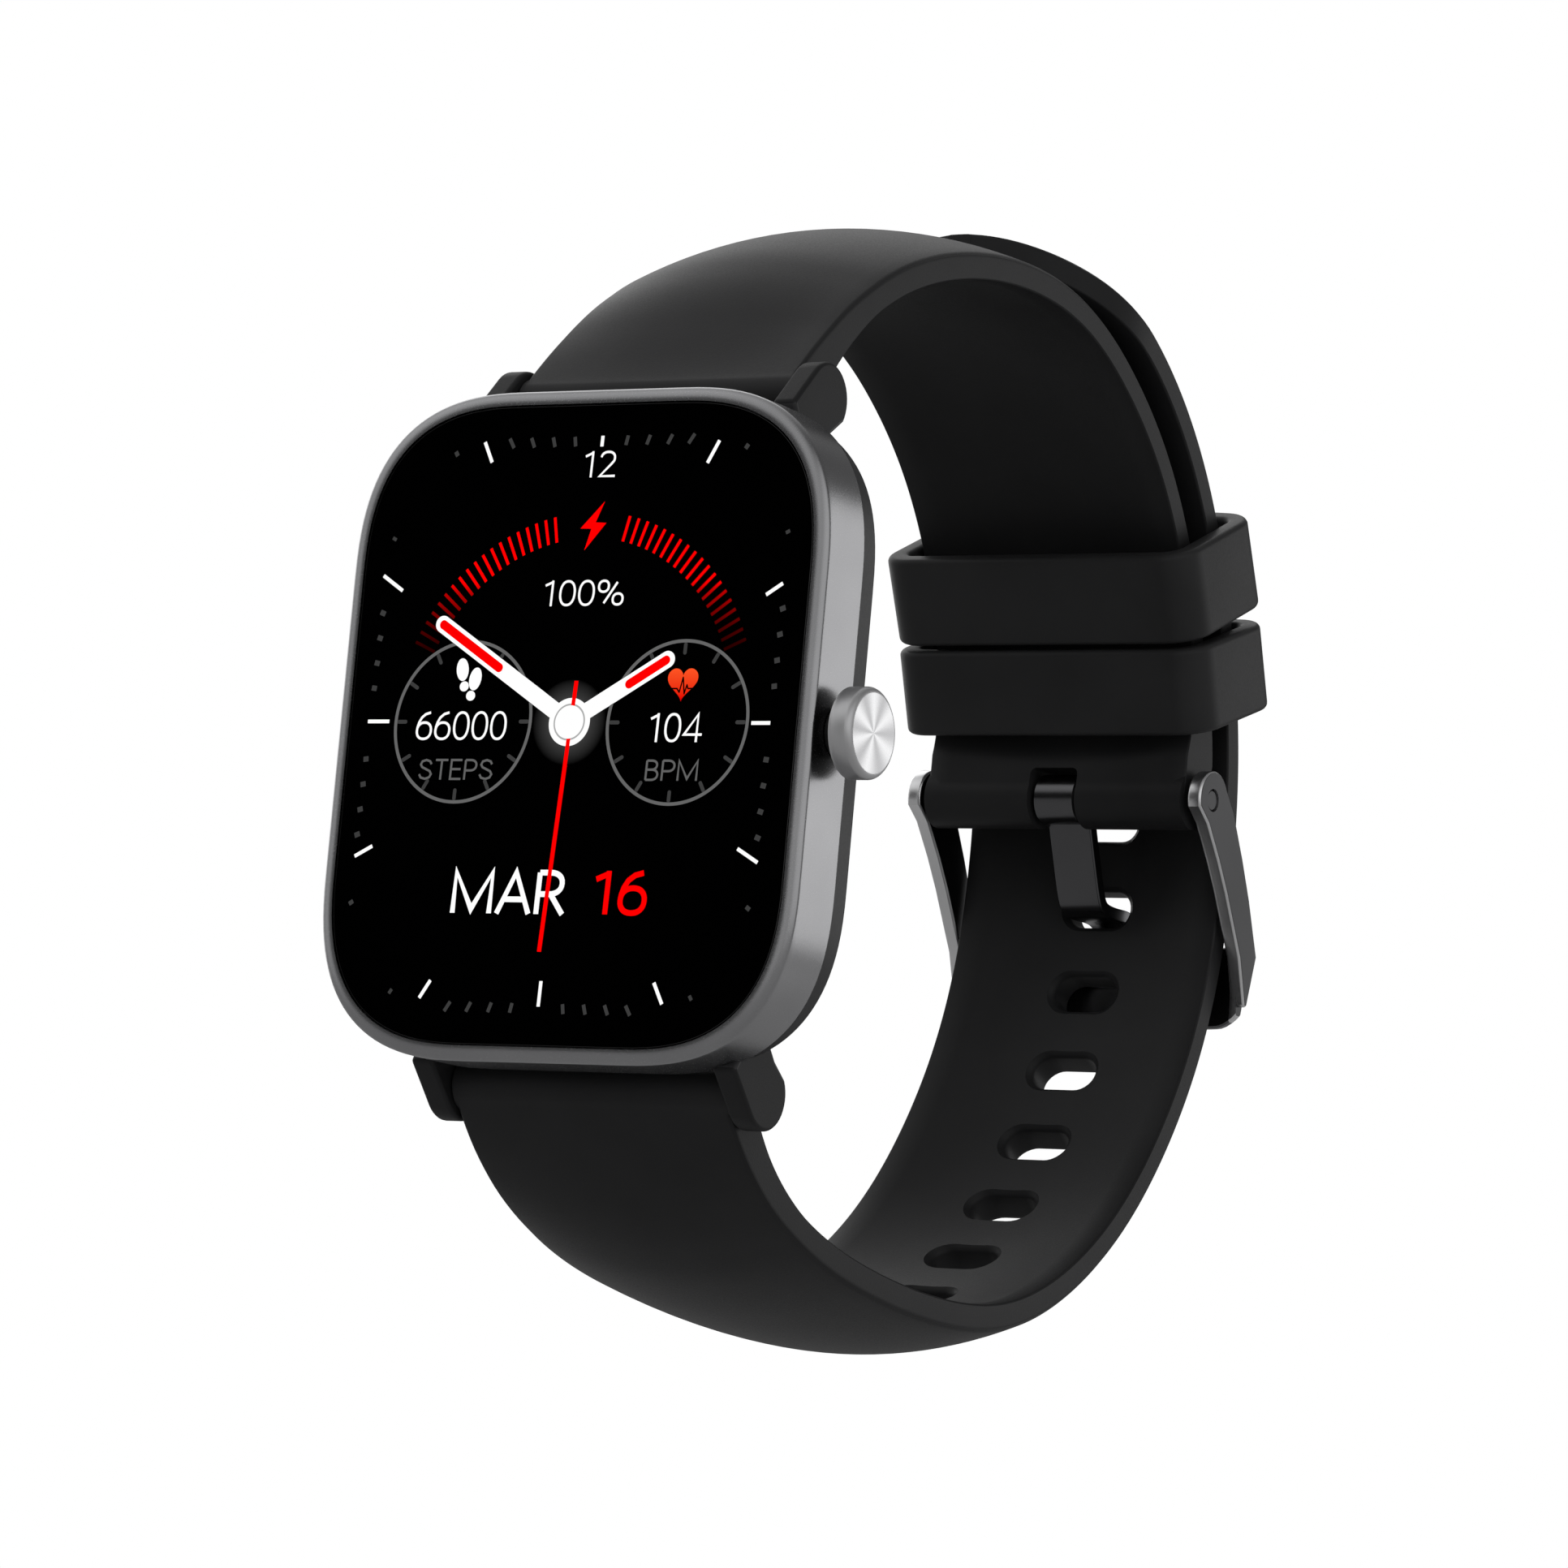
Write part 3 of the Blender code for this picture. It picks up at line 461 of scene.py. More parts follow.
RUBBER = grained("strap_rubber", (0.026, 0.026, 0.027), 0.45, grain=9.0, depth=0.006, Specular_IOR_Level=0.17)
KEEPER_RUBBER = grained("keeper_rubber", (0.036, 0.036, 0.037), 0.45, grain=9.0, depth=0.004,
                        Specular_IOR_Level=0.17)
ANODISED = grained("anodised_aluminium", (0.42, 0.42, 0.43), 0.26, 1.0, grain=14.0, depth=0.003, spread=0.06)
CROWN_SIDE = grained("crown_side", (0.68, 0.68, 0.69), 0.46, 1.0, grain=12.0, depth=0.003, spread=0.06)
# The crown's end face: its bright arms are painted highlights in the colour, not reflections.
CROWN_FACE = painted_star_highlight_metal("crown_face", (0.58, 0.58, 0.59), (0.97, 0.97, 0.98), (40, 98, 154, 200, 257, 336),
                          world(0.0, CROWN_DEPTH, CROWN_Z), 0.26)
# Near-black steel as painted shade: the crown's underside, stem and tube are made dark to stand for the shade
# in the gap by the case.
CROWN_GAP_SHADE = grained("crown_gap_painted_shade", (0.02, 0.02, 0.02), 0.5, 0.5, grain=8.0)
GUNMETAL = grained("gunmetal", (0.14, 0.14, 0.145), 0.25, 1.0, grain=10.0, depth=0.001, spread=0.08)
# A darker copy of the gunmetal, as painted shade on the buckle's sideways faces and on the hinge pin.
GUNMETAL_SHADED = grained("gunmetal_painted_shade", (0.05, 0.05, 0.052), 0.3, 1.0, grain=10.0, depth=0.001, spread=0.08)
# A near-white copy of the gunmetal that paints highlights on the buckle arms.
EDGE_HIGHLIGHT_PAINT = grained("edge_painted_highlight", (0.9, 0.9, 0.91), 0.3, 1.0, grain=10.0, depth=0.001, spread=0.06)
STEEL = grained("steel", (0.55, 0.55, 0.56), 0.28, 1.0, grain=10.0, depth=0.002, spread=0.08)
# A darker copy of the cover plastic, as painted shade on the lugs.
SHADED_LUG_PLASTIC = grained("lug_plastic_painted_shade", (0.022, 0.022, 0.023), 0.5, grain=10.0, depth=0.004, Specular_IOR_Level=0.2)
COVER = grained("cover_plastic", (0.04, 0.04, 0.042), 0.42, grain=10.0, depth=0.004, Specular_IOR_Level=0.4)
GLASS_BLACK = grained("display_glass", (0.0005, 0.0005, 0.0006), 0.03, grain=2.0, depth=0.0, spread=0.02)
SENSOR_BLACK = grained("sensor_glass", (0.006, 0.006, 0.008), 0.06, grain=2.0, depth=0.0, Coat_Weight=0.3)
SEAL = grained("seal_rubber", (0.02, 0.02, 0.02), 0.6)
BOARD = grained("solder_mask", (0.02, 0.09, 0.05), 0.35, grain=3.0)
FOIL = grained("foil", (0.5, 0.51, 0.53), 0.35, 0.9, grain=2.0, depth=0.01)
FILM = grained("polyimide", (0.55, 0.3, 0.07), 0.3, grain=3.0)
GOLD = grained("gold", (0.83, 0.6, 0.28), 0.2, 1.0, grain=6.0, depth=0.001)
LED = grained("led_resin", (0.1, 0.5, 0.2), 0.15, grain=3.0)
SWITCH = grained("switch_plastic", (0.03, 0.03, 0.032), 0.45, grain=6.0)


def dress(piece, look):
    piece.data.materials.clear()
    piece.data.materials.append(look)


def second_look(piece, look, wanted):
    """Gives a further material to the faces of a piece that are wanted."""
    piece.data.materials.append(look)
    for polygon in piece.data.polygons:
        if wanted(polygon):
            polygon.material_index = len(piece.data.materials) - 1


def finish_piece(piece, look, body, slot, *nodes):
    """Gives a piece its material and the body it moves with, and hides the CAD nodes it stands for. The slot
    argument is not used.
    """
    dress(piece, look)
    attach(piece, body)
    if nodes:
        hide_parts(*nodes)


# ---------- case

def make_middle_frame():
    back = ((0.0, FRAME_BACK - 0.3), (0.03, FRAME_BACK - 0.12), (0.12, FRAME_BACK - 0.03), (0.28, FRAME_BACK))
    inside = ((1.94, FRAME_BACK), (1.94, 1.25), (1.0, 1.25))
    piece = loft("case_frame", [inset(*corner) for corner in FRAME_LIP + back + inside], ring_closed=True)
    boolean(piece, [rod("bore", (16, CROWN_DEPTH, CROWN_Z), (20, CROWN_DEPTH, CROWN_Z), 1.5)], "DIFFERENCE")
    settle_shading(piece, 38)
    finish_piece(piece, ANODISED, "watch", "middle_frame", "middle_frame")


def make_glass():
    levels = ((0.0, GLASS_THICK), (0.0, 0.11), (0.02, 0.07), (0.06, GLASS_FACE))
    piece = loft("display_glass", [inset(GLASS_INSET + shy, depth) for shy, depth in levels])
    settle_shading(piece, 38)
    finish_piece(piece, GLASS_BLACK, "watch", "front_glass", "front_glass")


def lug_outline(sign):
    tip = arc((BAR_DEPTH + 0.15, BAR_Z), 2.45, 136, -30, 20)
    root = [(8.95, 21.1), (7.2, 18.9), (6.6, 18.9), (5.9, 20.3), (4.4, 21.5), (3.9, 22.3)]
    return [(depth, sign * z) for depth, z in tip + root]


def make_back_cover():
    rings = [rounded(COVER_HALF_X - shy_x, COVER_HALF_Z - shy_z, radius, depth)
             for shy_x, shy_z, radius, depth in COVER_EDGE]
    piece = loft("rear_shell", rings + [rounded(*outline) for outline in COVER_BULGE])
    lugs = []
    tools = [loft("hollow", [rounded(*outline) for outline in COVER_HOLLOW])]
    tools.append(rod("pocket", (0, 8.3, 0), (0, 12, 0), WINDOW_RADIUS + 0.1, 128))
    tools.append(rod("light_hole", (0, 6.5, 0), (0, 9, 0), 9.0, 64))
    for side, sign in (("left", -1), ("right", 1)):
        low, high = sorted((sign * LUG_INNER, sign * LUG_OUTER))
        tools.append(rod(f"contact_{side}", (sign * 1.6, 6.5, -14.6), (sign * 1.6, 10, -14.6), 1.0, 40))
        for up, sign_z in (("upper", 1), ("lower", -1)):
            lugs.append(side_prism(f"lug_{up}_{side}", lug_outline(sign_z), low, high, edge=0.8))
            ends = [(sign * x, BAR_DEPTH, sign_z * BAR_Z) for x in (10.5, 12.4)]
            tools.append(rod(f"bar_{up}_{side}", *ends, 0.45, 32))
    boolean(piece, lugs, "UNION")
    boolean(piece, tools, "DIFFERENCE")
    settle_shading(piece, 30)
    finish_piece(piece, COVER, "watch", "back_cover", "back_cover")
    # Painted shade: the lugs' faces get the darker copy of the cover plastic.
    second_look(piece, SHADED_LUG_PLASTIC, lambda face: abs(face.center.z) > LUG_START_Z * MM)


def make_sensor_window():
    radius = WINDOW_RADIUS
    edge = [(CASE_DEPTH - 0.6 * (1 - math.cos(t)), radius - 1.5 + 1.3 * math.sin(t))
            for t in np.linspace(0, math.pi / 2, 10)]
    profile = [(WINDOW_FRONT, radius), (BULGE_BACK, radius), (CASE_DEPTH - 0.62, radius)] + edge[::-1]
    window = turned("optical_window", profile, (0, 0, 0), (0, 1, 0), 128)
    finish_piece(window, SENSOR_BLACK, "watch", "sensor_glass", "sensor_window")


def make_crown():
    start, end = (CROWN_BASE, CROWN_DEPTH, CROWN_Z), (CROWN_END, CROWN_DEPTH, CROWN_Z)
    length, radius = CROWN_END - CROWN_BASE, CROWN_RADIUS
    profile = [(0.0, 2.75), (0.06, 2.9), (0.16, 3.05), (0.3, radius - 0.03), (0.38, radius)]
    profile += [(length - drop, radius - inner) for drop, inner in CROWN_EDGE]
    knob = turned("crown_cap", profile, start, end, 128)
    finish_piece(knob, CROWN_SIDE, "crown", "crown_metal", "crown_knob")
    # The end face gets the metal with painted highlight arms.
    second_look(knob, CROWN_FACE, lambda face: face.normal.x > 0.98)
    # Painted shade: the knob's faces that look back at the case are made near black.
    second_look(knob, CROWN_GAP_SHADE, lambda face: face.normal.x < -0.6)


# ---------- strap

def spline(points):
    """A natural cubic spline through the points, as its dense points and their distance along it."""
    knots = np.array(points, float)
    steps = np.linalg.norm(np.diff(knots, axis=0), axis=1)
    slopes = np.diff(knots, axis=0) / steps[:, None]
    count = len(knots)
    matrix = np.eye(count)
    wanted = np.zeros((count, 2))
    for i in range(1, count - 1):
        matrix[i, i - 1:i + 2] = steps[i - 1], 2 * (steps[i - 1] + steps[i]), steps[i]
        wanted[i] = 6 * (slopes[i] - slopes[i - 1])
    bend = np.linalg.solve(matrix, wanted)
    dense = [knots[0]]
    for i, step in enumerate(steps):
        for share in np.linspace(0, 1, 25)[1:]:
            run = share * step
            linear = slopes[i] - step * (2 * bend[i] + bend[i + 1]) / 6
            cubic = (bend[i + 1] - bend[i]) / (6 * step)
            dense.append(knots[i] + linear * run + bend[i] / 2 * run ** 2 + cubic * run ** 3)
    dense = np.array(dense)
    along = np.concatenate([[0.0], np.cumsum(np.linalg.norm(np.diff(dense, axis=0), axis=1))])
    return along, dense


def frame_at(path, distance, side):
    """The point, the direction and the outward normal of a path at a distance along it."""
    along, dense = path

    def place(s):
        return np.array([np.interp(s, along, dense[:, k]) for k in (0, 1)])
    ahead = place(min(distance + 0.4, along[-1])) - place(max(distance - 0.4, 0.0))
    ahead /= np.linalg.norm(ahead)
    return place(distance), ahead, side * np.array([-ahead[1], ahead[0]])


def smooth(value):
    value = min(max(value, 0.0), 1.0)
    return value * value * (3 - 2 * value)


def strap_section(place, normal, thick, lift, half):
    """One section across a strap: arched outer face, square sides, arched inner face with a bevel band."""
    columns = 22

    def point(x, height):
        return (x, *(place + normal * height))

    def arch(x, rise):
        return rise * lift * (1 - (x / STRAP_HALF) ** 2)
    edge = min(0.32, half / 4)
    shy = min(BEVEL_BAND, half / 3)
    rim = arch(half, STRAP_ARCH)
    outer = [(half - edge) * (2 * i / columns - 1) for i in range(columns + 1)]
    inner = [(half - shy) * (1 - 2 * i / columns) for i in range(columns + 1)]
    right = [(half - edge * 0.55, thick / 2 - edge * 0.1), (half - edge * 0.15, thick / 2 - edge * 0.45),
             (half, thick / 2 - edge), (half, 0.52 - thick / 2), (half - 0.05, 0.44 - thick / 2),
             (half - 0.16, 0.38 - thick / 2)]
    ring = [point(x, thick / 2 + arch(x, STRAP_ARCH)) for x in outer]
    ring += [point(x, n + rim) for x, n in right]
    ring += [point(x, arch(x, INNER_ARCH) - thick / 2) for x in inner]
    ring += [point(-x, n + rim) for x, n in right[::-1]]
    return ring


def lug_thick(s):
    return float(np.interp(s, (0, 6, 12), (LUG_THICK, 2.8, STRAP_THICK)))


def ribbon(name, path, side, stations, thick, lift, half):
    rings = []
    for s in stations:
        place, _, normal = frame_at(path, s, side)
        rings.append(strap_section(place, normal, thick(s), lift(s), half(s)))
    return loft(name, rings, smooth_angle=32)


def bar_tools(sign):
    """The barrel that the strap wraps round its spring bar, and the bore and lever slot cut in it."""
    at_left, at_right = (-STRAP_HALF, BAR_DEPTH, sign * BAR_Z), (STRAP_HALF, BAR_DEPTH, sign * BAR_Z)
    barrel = rod(f"barrel_{sign}", at_left, at_right, LUG_THICK / 2, 64)
    bore = rod(f"bore_{sign}", (-12, BAR_DEPTH, sign * BAR_Z), (12, BAR_DEPTH, sign * BAR_Z), 0.8, 40)
    across = (0.69 * 0.6, sign * 0.72 * 0.6)
    tip = (BAR_DEPTH + 0.72 * 4, sign * (BAR_Z - 0.69 * 4))
    outline = [(BAR_DEPTH - across[0], sign * BAR_Z - across[1]), (tip[0] - across[0], tip[1] - across[1]),
               (tip[0] + across[0], tip[1] + across[1]), (BAR_DEPTH + across[0], sign * BAR_Z + across[1])]
    return barrel, [bore, side_prism(f"slot_{sign}", outline, 5.2, 7.6)]


def pin_rod(name, half, radius, steps=64, edge=0.0):
    return rod(name, (-half, PIN_DEPTH, PIN_Z), (half, PIN_DEPTH, PIN_Z), radius, steps, edge)


def make_upper_strap():
    path = spline(UPPER_PATH)
    length = path[0][-1]

    def thick(s):
        return max(lug_thick(s), float(np.interp(length - s, PIN_END_DISTANCE, PIN_END_THICK)))

    def lift(s):
        return smooth(s / ARCH_RISE) * smooth((length - 1.2 - s) / 6)
    stations = np.linspace(0, length, 110)
    strap = ribbon("short_strap", path, 1, stations, thick, lift, lambda s: STRAP_HALF)
    barrel, tools = bar_tools(1)
    boolean(strap, [barrel, pin_rod("pin_barrel", STRAP_HALF - 0.03, 2.2)], "UNION")
    corner = arc((1.5, 7.3), 0.5, 0, 90, 6)
    notch_side = corner + [(-x, z) for x, z in corner[::-1]] + [(-2.0, 2.0), (2.0, 2.0)]
    tools.append(prism("notch", notch_side, 62, 71, lambda u, v, level: (u, level, v)))
    tools.append(pin_rod("pin_bore", 13, PIN_BORE))
    boolean(strap, tools, "DIFFERENCE")
    settle_shading(strap, 32)
    finish_piece(strap, RUBBER, "watch", "strap_rubber", "upper_strap")


def pill(offset):
    """A strap hole's outline, grown by an offset."""
    radius = HOLE_HALF_S + offset
    right = arc((HOLE_HALF_X - HOLE_HALF_S, 0.0), radius, -90, 90, 14)
    return right + [(-x, -v) for x, v in right]


def hole_cutter(name, place, ahead, normal):
    """A strap hole that opens out softly at both faces."""
    low, high = INNER_ARCH - STRAP_THICK / 2, STRAP_ARCH + STRAP_THICK / 2
    levels = [(low - 1.5, 1.2), (low - 0.1, 0.42), (low + 0.06, 0.24), (low + 0.22, 0.09), (low + 0.45, 0.0),
              (high - 0.45, 0.0), (high - 0.22, 0.09), (high - 0.06, 0.24), (high + 0.1, 0.42),
              (high + 1.5, 1.2)]
    rings = [[(x, *(place + normal * level + ahead * v)) for x, v in pill(offset)]
             for level, offset in levels]
    return loft(name, rings)


def make_lower_strap():
    path = spline(LOWER_PATH)
    length = path[0][-1]

    def half(s):
        past = max(s - (length - TAIL_ROUND), 0.0) / TAIL_ROUND
        return STRAP_HALF * math.sqrt(max(1 - past ** 2, 0.008))
    tail = length - TAIL_ROUND * (1 - np.sin(np.linspace(0, 1, 26)[1:] * math.pi / 2))
    stations = np.concatenate([np.linspace(0, length - TAIL_ROUND, 160), tail])
    strap = ribbon("long_strap", path, -1, stations, lug_thick, lambda s: smooth(s / ARCH_RISE), half)
    barrel, tools = bar_tools(-1)
    boolean(strap, [barrel], "UNION")
    for i in range(HOLE_COUNT):
        tools.append(hole_cutter(f"hole_{i}", *frame_at(path, HOLE_FIRST + HOLE_PITCH * i, -1)))
    boolean(strap, tools, "DIFFERENCE")
    settle_shading(strap, 32)
    finish_piece(strap, RUBBER, "watch", "strap_rubber", "lower_strap")


def keeper_outline(offset, level, centre, ahead):
    """A keeper's section at one level: a rounded rectangle, flat inside and arched outside."""
    half_x = KEEPER_HALF_X - offset
    radius = max(KEEPER_RADIUS - offset, 0.9)
    flat = half_x - radius
    loop = []
    for side, half_n, arch in ((1, KEEPER_FAR - offset, KEEPER_ARCH), (-1, KEEPER_NEAR - offset, 0.0)):
        half_loop = arc((flat, half_n - radius), radius, 0, 90, 10)
        half_loop += [(flat * (1 - 2 * i / 24), half_n) for i in range(1, 24)]
        half_loop += arc((-flat, half_n - radius), radius, 90, 180, 10)
        loop += [(side * x, side * n + arch * (1 - (x / KEEPER_HALF_X) ** 2)) for x, n in half_loop]
    ahead = np.array(ahead) / np.linalg.norm(ahead)
    normal = np.array((-ahead[1], ahead[0]))
    return [(x, *(np.array(centre) + normal * n + ahead * level)) for x, n in loop]


def make_keepers():
    soft = 0.45
    turns = [(1 - math.sin(t), 1 - math.cos(t)) for t in np.linspace(0, math.pi / 2, 6)]
    for name, body, centre, ahead, height in KEEPERS:
        reach = height / 2
        outer = [(soft * a, soft * b - reach) for a, b in turns]
        outer += [(soft * a, reach - soft * b) for a, b in turns[::-1]]
        inner = [(KEEPER_WALL - offset, -level) for offset, level in outer]
        rings = [keeper_outline(offset, level, centre, ahead) for offset, level in outer + inner]
        piece = loft(name + "_loop", rings, ring_closed=True, smooth_angle=50)
        finish_piece(piece, KEEPER_RUBBER, body, "keeper_rubber", name)


# ---------- buckle

def end_bar_section(x):
    """The end bar's side view at one place across it: it bows over the strap and has round corners."""
    bow = STRAP_ARCH * max(1 - (x / 11.2) ** 2, 0.0)
    corner = 2.5
    past = max(abs(x) - (ARM_OUTER - corner), 0.0)
    low = END_BAR_LOW + corner - math.sqrt(max(corner ** 2 - past ** 2, 0.0))
    return [(x, 73.45 + bow, -4.3), (x, 73.55 + bow, -4.2), (x, 74.95 + bow, -4.2), (x, 75.15 + bow, -4.3),
            (x, 75.3 + bow, -4.7), (x, 74.45 + bow, low + 0.15), (x, 74.3 + bow, low), (x, 73.8 + bow, low),
            (x, 73.68 + bow, low + 0.15)]


def make_buckle_frame():
    top = arc((PIN_DEPTH + 0.2, PIN_Z), 2.2, 200, 30, 24)
    outline = top + [(70.0, 5.4), (72.0, 2.1), (73.5, -0.7), (75.3, -4.7), (74.35, -8.6), (73.9, -8.6),
                     (72.6, -5.1), (71.2, -2.9), (69.8, -0.7), (68.2, 1.5), (66.2, 3.9)]
    piece = side_prism("buckle_bow", outline, ARM_INNER, ARM_OUTER, edge=0.3)
    left = side_prism("left_arm", outline, -ARM_OUTER, -ARM_INNER, edge=0.3)
    places = np.concatenate([[-11.95, -11.7], np.linspace(-11.4, 11.4, 47), [11.7, 11.95]])
    bar = loft("bar", [end_bar_section(x) for x in places])
    boolean(piece, [left, bar], "UNION")
    tools = [pin_rod("sweep", 2.15, 15.7, 256), pin_rod("arm_bore", 14, PIN_BORE)]
    boolean(piece, tools, "DIFFERENCE")
    settle_shading(piece, 28)
    finish_piece(piece, GUNMETAL, "buckle", "buckle_metal", "buckle_frame")
    flat = 0.93
    on_arm = (ARM_INNER - 0.05) * MM
    # Painted highlight: the arms' faces that look neither sideways nor back get the near-white metal.
    second_look(piece, EDGE_HIGHLIGHT_PAINT, lambda face: abs(face.normal.x) < flat and face.normal.y < 0.3
                and abs(face.center.x) > on_arm)
    # Painted shade: the faces that look sideways get the darker gunmetal.
    second_look(piece, GUNMETAL_SHADED, lambda face: abs(face.normal.x) > flat)


def make_tongue():
    line = spline(((67.6, 5.2), (68.4, 3.2), (69.3, 1.1), (70.2, -0.85), (70.85, -1.7), (71.7, -1.95),
                   (73.5, -2.0), (75.5, -2.25), (76.7, -3.5), (76.8, -5.5)))
    near, far = [], []
    for s in np.linspace(0, line[0][-1], 60):
        place, _, normal = frame_at(line, s, 1)
        near.append(place + normal * 0.5)
        far.append(place - normal * 0.5)
    piece = side_prism("buckle_prong", near + far[::-1], -1.8, 1.8, edge=0.16)
    boolean(piece, [pin_rod("curl", 1.8, 1.85, 96, edge=0.2)], "UNION")
    boolean(piece, [pin_rod("curl_bore", 3, PIN_BORE)], "DIFFERENCE")
    settle_shading(piece, 35)
    finish_piece(piece, GUNMETAL, "tongue", "buckle_metal", "buckle_tongue")


def make_pin():
    piece = pin_rod("hinge_pin", span("buckle_pin", 0)[1], PIN_RADIUS, 48, edge=0.12)
    # The hinge pin takes the darker gunmetal as painted shade.
    finish_piece(piece, GUNMETAL_SHADED, "watch", "steel", "buckle_pin")


# ---------- display picture

class Sheet:
    """Flat shapes of one material, gathered into one piece on the glass."""

    def __init__(self, name, look, layer):
        self.name, self.look, self.layer = name, look, layer
        self.work = bmesh.new()

    def shape(self, outline):
        levels = (GLASS_FACE + 0.01, GLASS_FACE - 0.01 - LAYER * self.layer)
        add_slab(self.work, *[[on_glass(x, depth, z) for x, z in outline] for depth in levels])

    def bar(self, start, end, width):
        """A straight bar with square ends."""
        start, end = np.array(start, float), np.array(end, float)
        ahead = (end - start) / np.linalg.norm(end - start)
        side = np.array((-ahead[1], ahead[0])) * width / 2
        self.shape([start + side, end + side, end - side, start - side])

    def capsule(self, start, end, width):
        """A straight bar with round ends."""
        facing = math.degrees(math.atan2(end[1] - start[1], end[0] - start[0]))
        round_end = arc(end, width / 2, facing - 90, facing + 90, 12)
        self.shape(round_end + arc(start, width / 2, facing + 90, facing + 270, 12))

    def disc(self, centre, radius):
        self.shape(arc(centre, radius, 0, 355, 71))

    def ring(self, centre, outer, inner):
        """A band between two radii, as short four-sided pieces."""
        steps = 96
        for i in range(steps):
            a = 360 * i / steps
            b = 360 * (i + 1) / steps
            self.shape(arc(centre, outer, a, b, 1) + arc(centre, inner, b, a, 1))

    def stroke(self, points, width):
        """A line of even width with mitred corners. It closes up if it ends where it began."""
        points = [np.array(point, float) for point in points]
        closed = np.linalg.norm(points[0] - points[-1]) < 1e-6
        count = len(points) - 1
        edges = []
        for i in range(count + 1):
            before = points[i] - points[i - 1] if i > 0 else points[count] - points[count - 1]
            after = points[i + 1] - points[i] if i < count else points[1] - points[0]
            if not closed and i == 0:
                before = after
            if not closed and i == count:
                after = before
            before, after = before / np.linalg.norm(before), after / np.linalg.norm(after)
            across = np.array((-before[1] - after[1], before[0] + after[0]))
            across /= np.linalg.norm(across)
            reach = width / 2 / max(across @ (-after[1], after[0]), 0.5)
            edges.append((points[i] + across * reach, points[i] - across * reach))
        for near, far in zip(edges, edges[1:]):
            self.shape([near[0], far[0], far[1], near[1]])

    def text(self, words, centre, height, width, weight):
        """Plain letters and figures as strokes, fitted to a height and a width about their centre."""
        paths, cursor = [], 0.0
        for letter in words:
            advance, strokes = LETTERS[letter]
            paths += [[(x + cursor, z) for x, z in stroke] for stroke in strokes]
            cursor += advance + LETTER_GAP
        total = cursor - LETTER_GAP
        scale_x, scale_z = (width - weight) / total, height - weight
        left, low = centre[0] - (width - weight) / 2, centre[1] - scale_z / 2
        for path in paths:
            self.stroke([(left + x * scale_x, low + z * scale_z) for x, z in path], weight)

    def done(self):
        piece = add_mesh(self.name, self.work)
        finish_piece(piece, self.look, "watch", "display_panel")


def loop(centre, half_x, half_z, start=0, end=360, steps=32):
    """Part of a slightly squared oval."""
    power = 0.9
    points = []
    for i in range(steps + 1):
        turn = math.radians(start + (end - start) * i / steps)
        across, up = math.cos(turn), math.sin(turn)
        points.append((centre[0] + half_x * math.copysign(abs(across) ** power, across),
                       centre[1] + half_z * math.copysign(abs(up) ** power, up)))
    return points


def bow(left, reach, low, high):
    """The bowl of a P, B or R, from the stem's top round to the stem again."""
    radius = (high - low) / 2
    bowl = loop((left + reach, low + radius), radius * 0.95, radius, 90, -90, 14)
    return [(left, high)] + bowl + [(left, low)]


# Each letter: its width, and its strokes in a box that is one high
LETTER_GAP = 0.16
ESS = ((0.5, 0.78), (0.43, 0.93), (0.26, 1.0), (0.09, 0.93), (0.03, 0.76), (0.1, 0.62), (0.27, 0.52),
       (0.45, 0.41), (0.52, 0.25), (0.45, 0.08), (0.27, 0.0), (0.08, 0.07), (0.0, 0.24))
SIX_STEM = ((0.0, 0.31), (0.01, 0.45), (0.05, 0.63), (0.13, 0.81), (0.26, 0.94), (0.43, 1.0))
STEM = ((0.0, -0.04), (0.0, 1.0))
LETTERS = {
    "0": (0.5, [loop((0.25, 0.5), 0.25, 0.5)]),
    "1": (0.38, [[(0.0, 0.83), (0.25, 0.97)], [(0.25, 1.04), (0.25, -0.04)]]),
    "2": (0.52, [loop((0.26, 0.74), 0.24, 0.26, 172, -25, 16) + [(0.4, 0.5), (0.02, 0.0), (0.56, 0.0)]]),
    "4": (0.6, [[(0.44, -0.04), (0.44, 1.0), (0.0, 0.24), (0.62, 0.24)]]),
    "6": (0.5, [loop((0.25, 0.31), 0.25, 0.31), SIX_STEM]),
    "%": (0.86, [loop((0.17, 0.77), 0.17, 0.23), loop((0.69, 0.23), 0.17, 0.23),
                 [(0.22, 0.06), (0.63, 0.94)]]),
    "S": (0.52, [ESS]),
    "T": (0.54, [[(0.0, 1.0), (0.54, 1.0)], [(0.27, 1.0), (0.27, -0.04)]]),
    "E": (0.46, [[(0.46, 1.0), (0.0, 1.0), (0.0, 0.0), (0.46, 0.0)], [(0.0, 0.52), (0.42, 0.52)]]),
    "P": (0.5, [STEM, bow(0.0, 0.22, 0.45, 1.0)]),
    "B": (0.5, [[(0.0, 0.0), (0.0, 1.0)], bow(0.0, 0.2, 0.53, 1.0), bow(0.0, 0.22, 0.0, 0.53)]),
    "M": (0.76, [[(0.0, -0.04), (0.0, 1.0), (0.38, 0.06), (0.76, 1.0), (0.76, -0.04)]]),
    "A": (0.66, [[(0.0, -0.04), (0.33, 1.0), (0.66, -0.04)], [(0.1, 0.32), (0.56, 0.32)]]),
    "R": (0.54, [STEM, bow(0.0, 0.22, 0.46, 1.0), [(0.26, 0.46), (0.54, -0.04)]]),
}

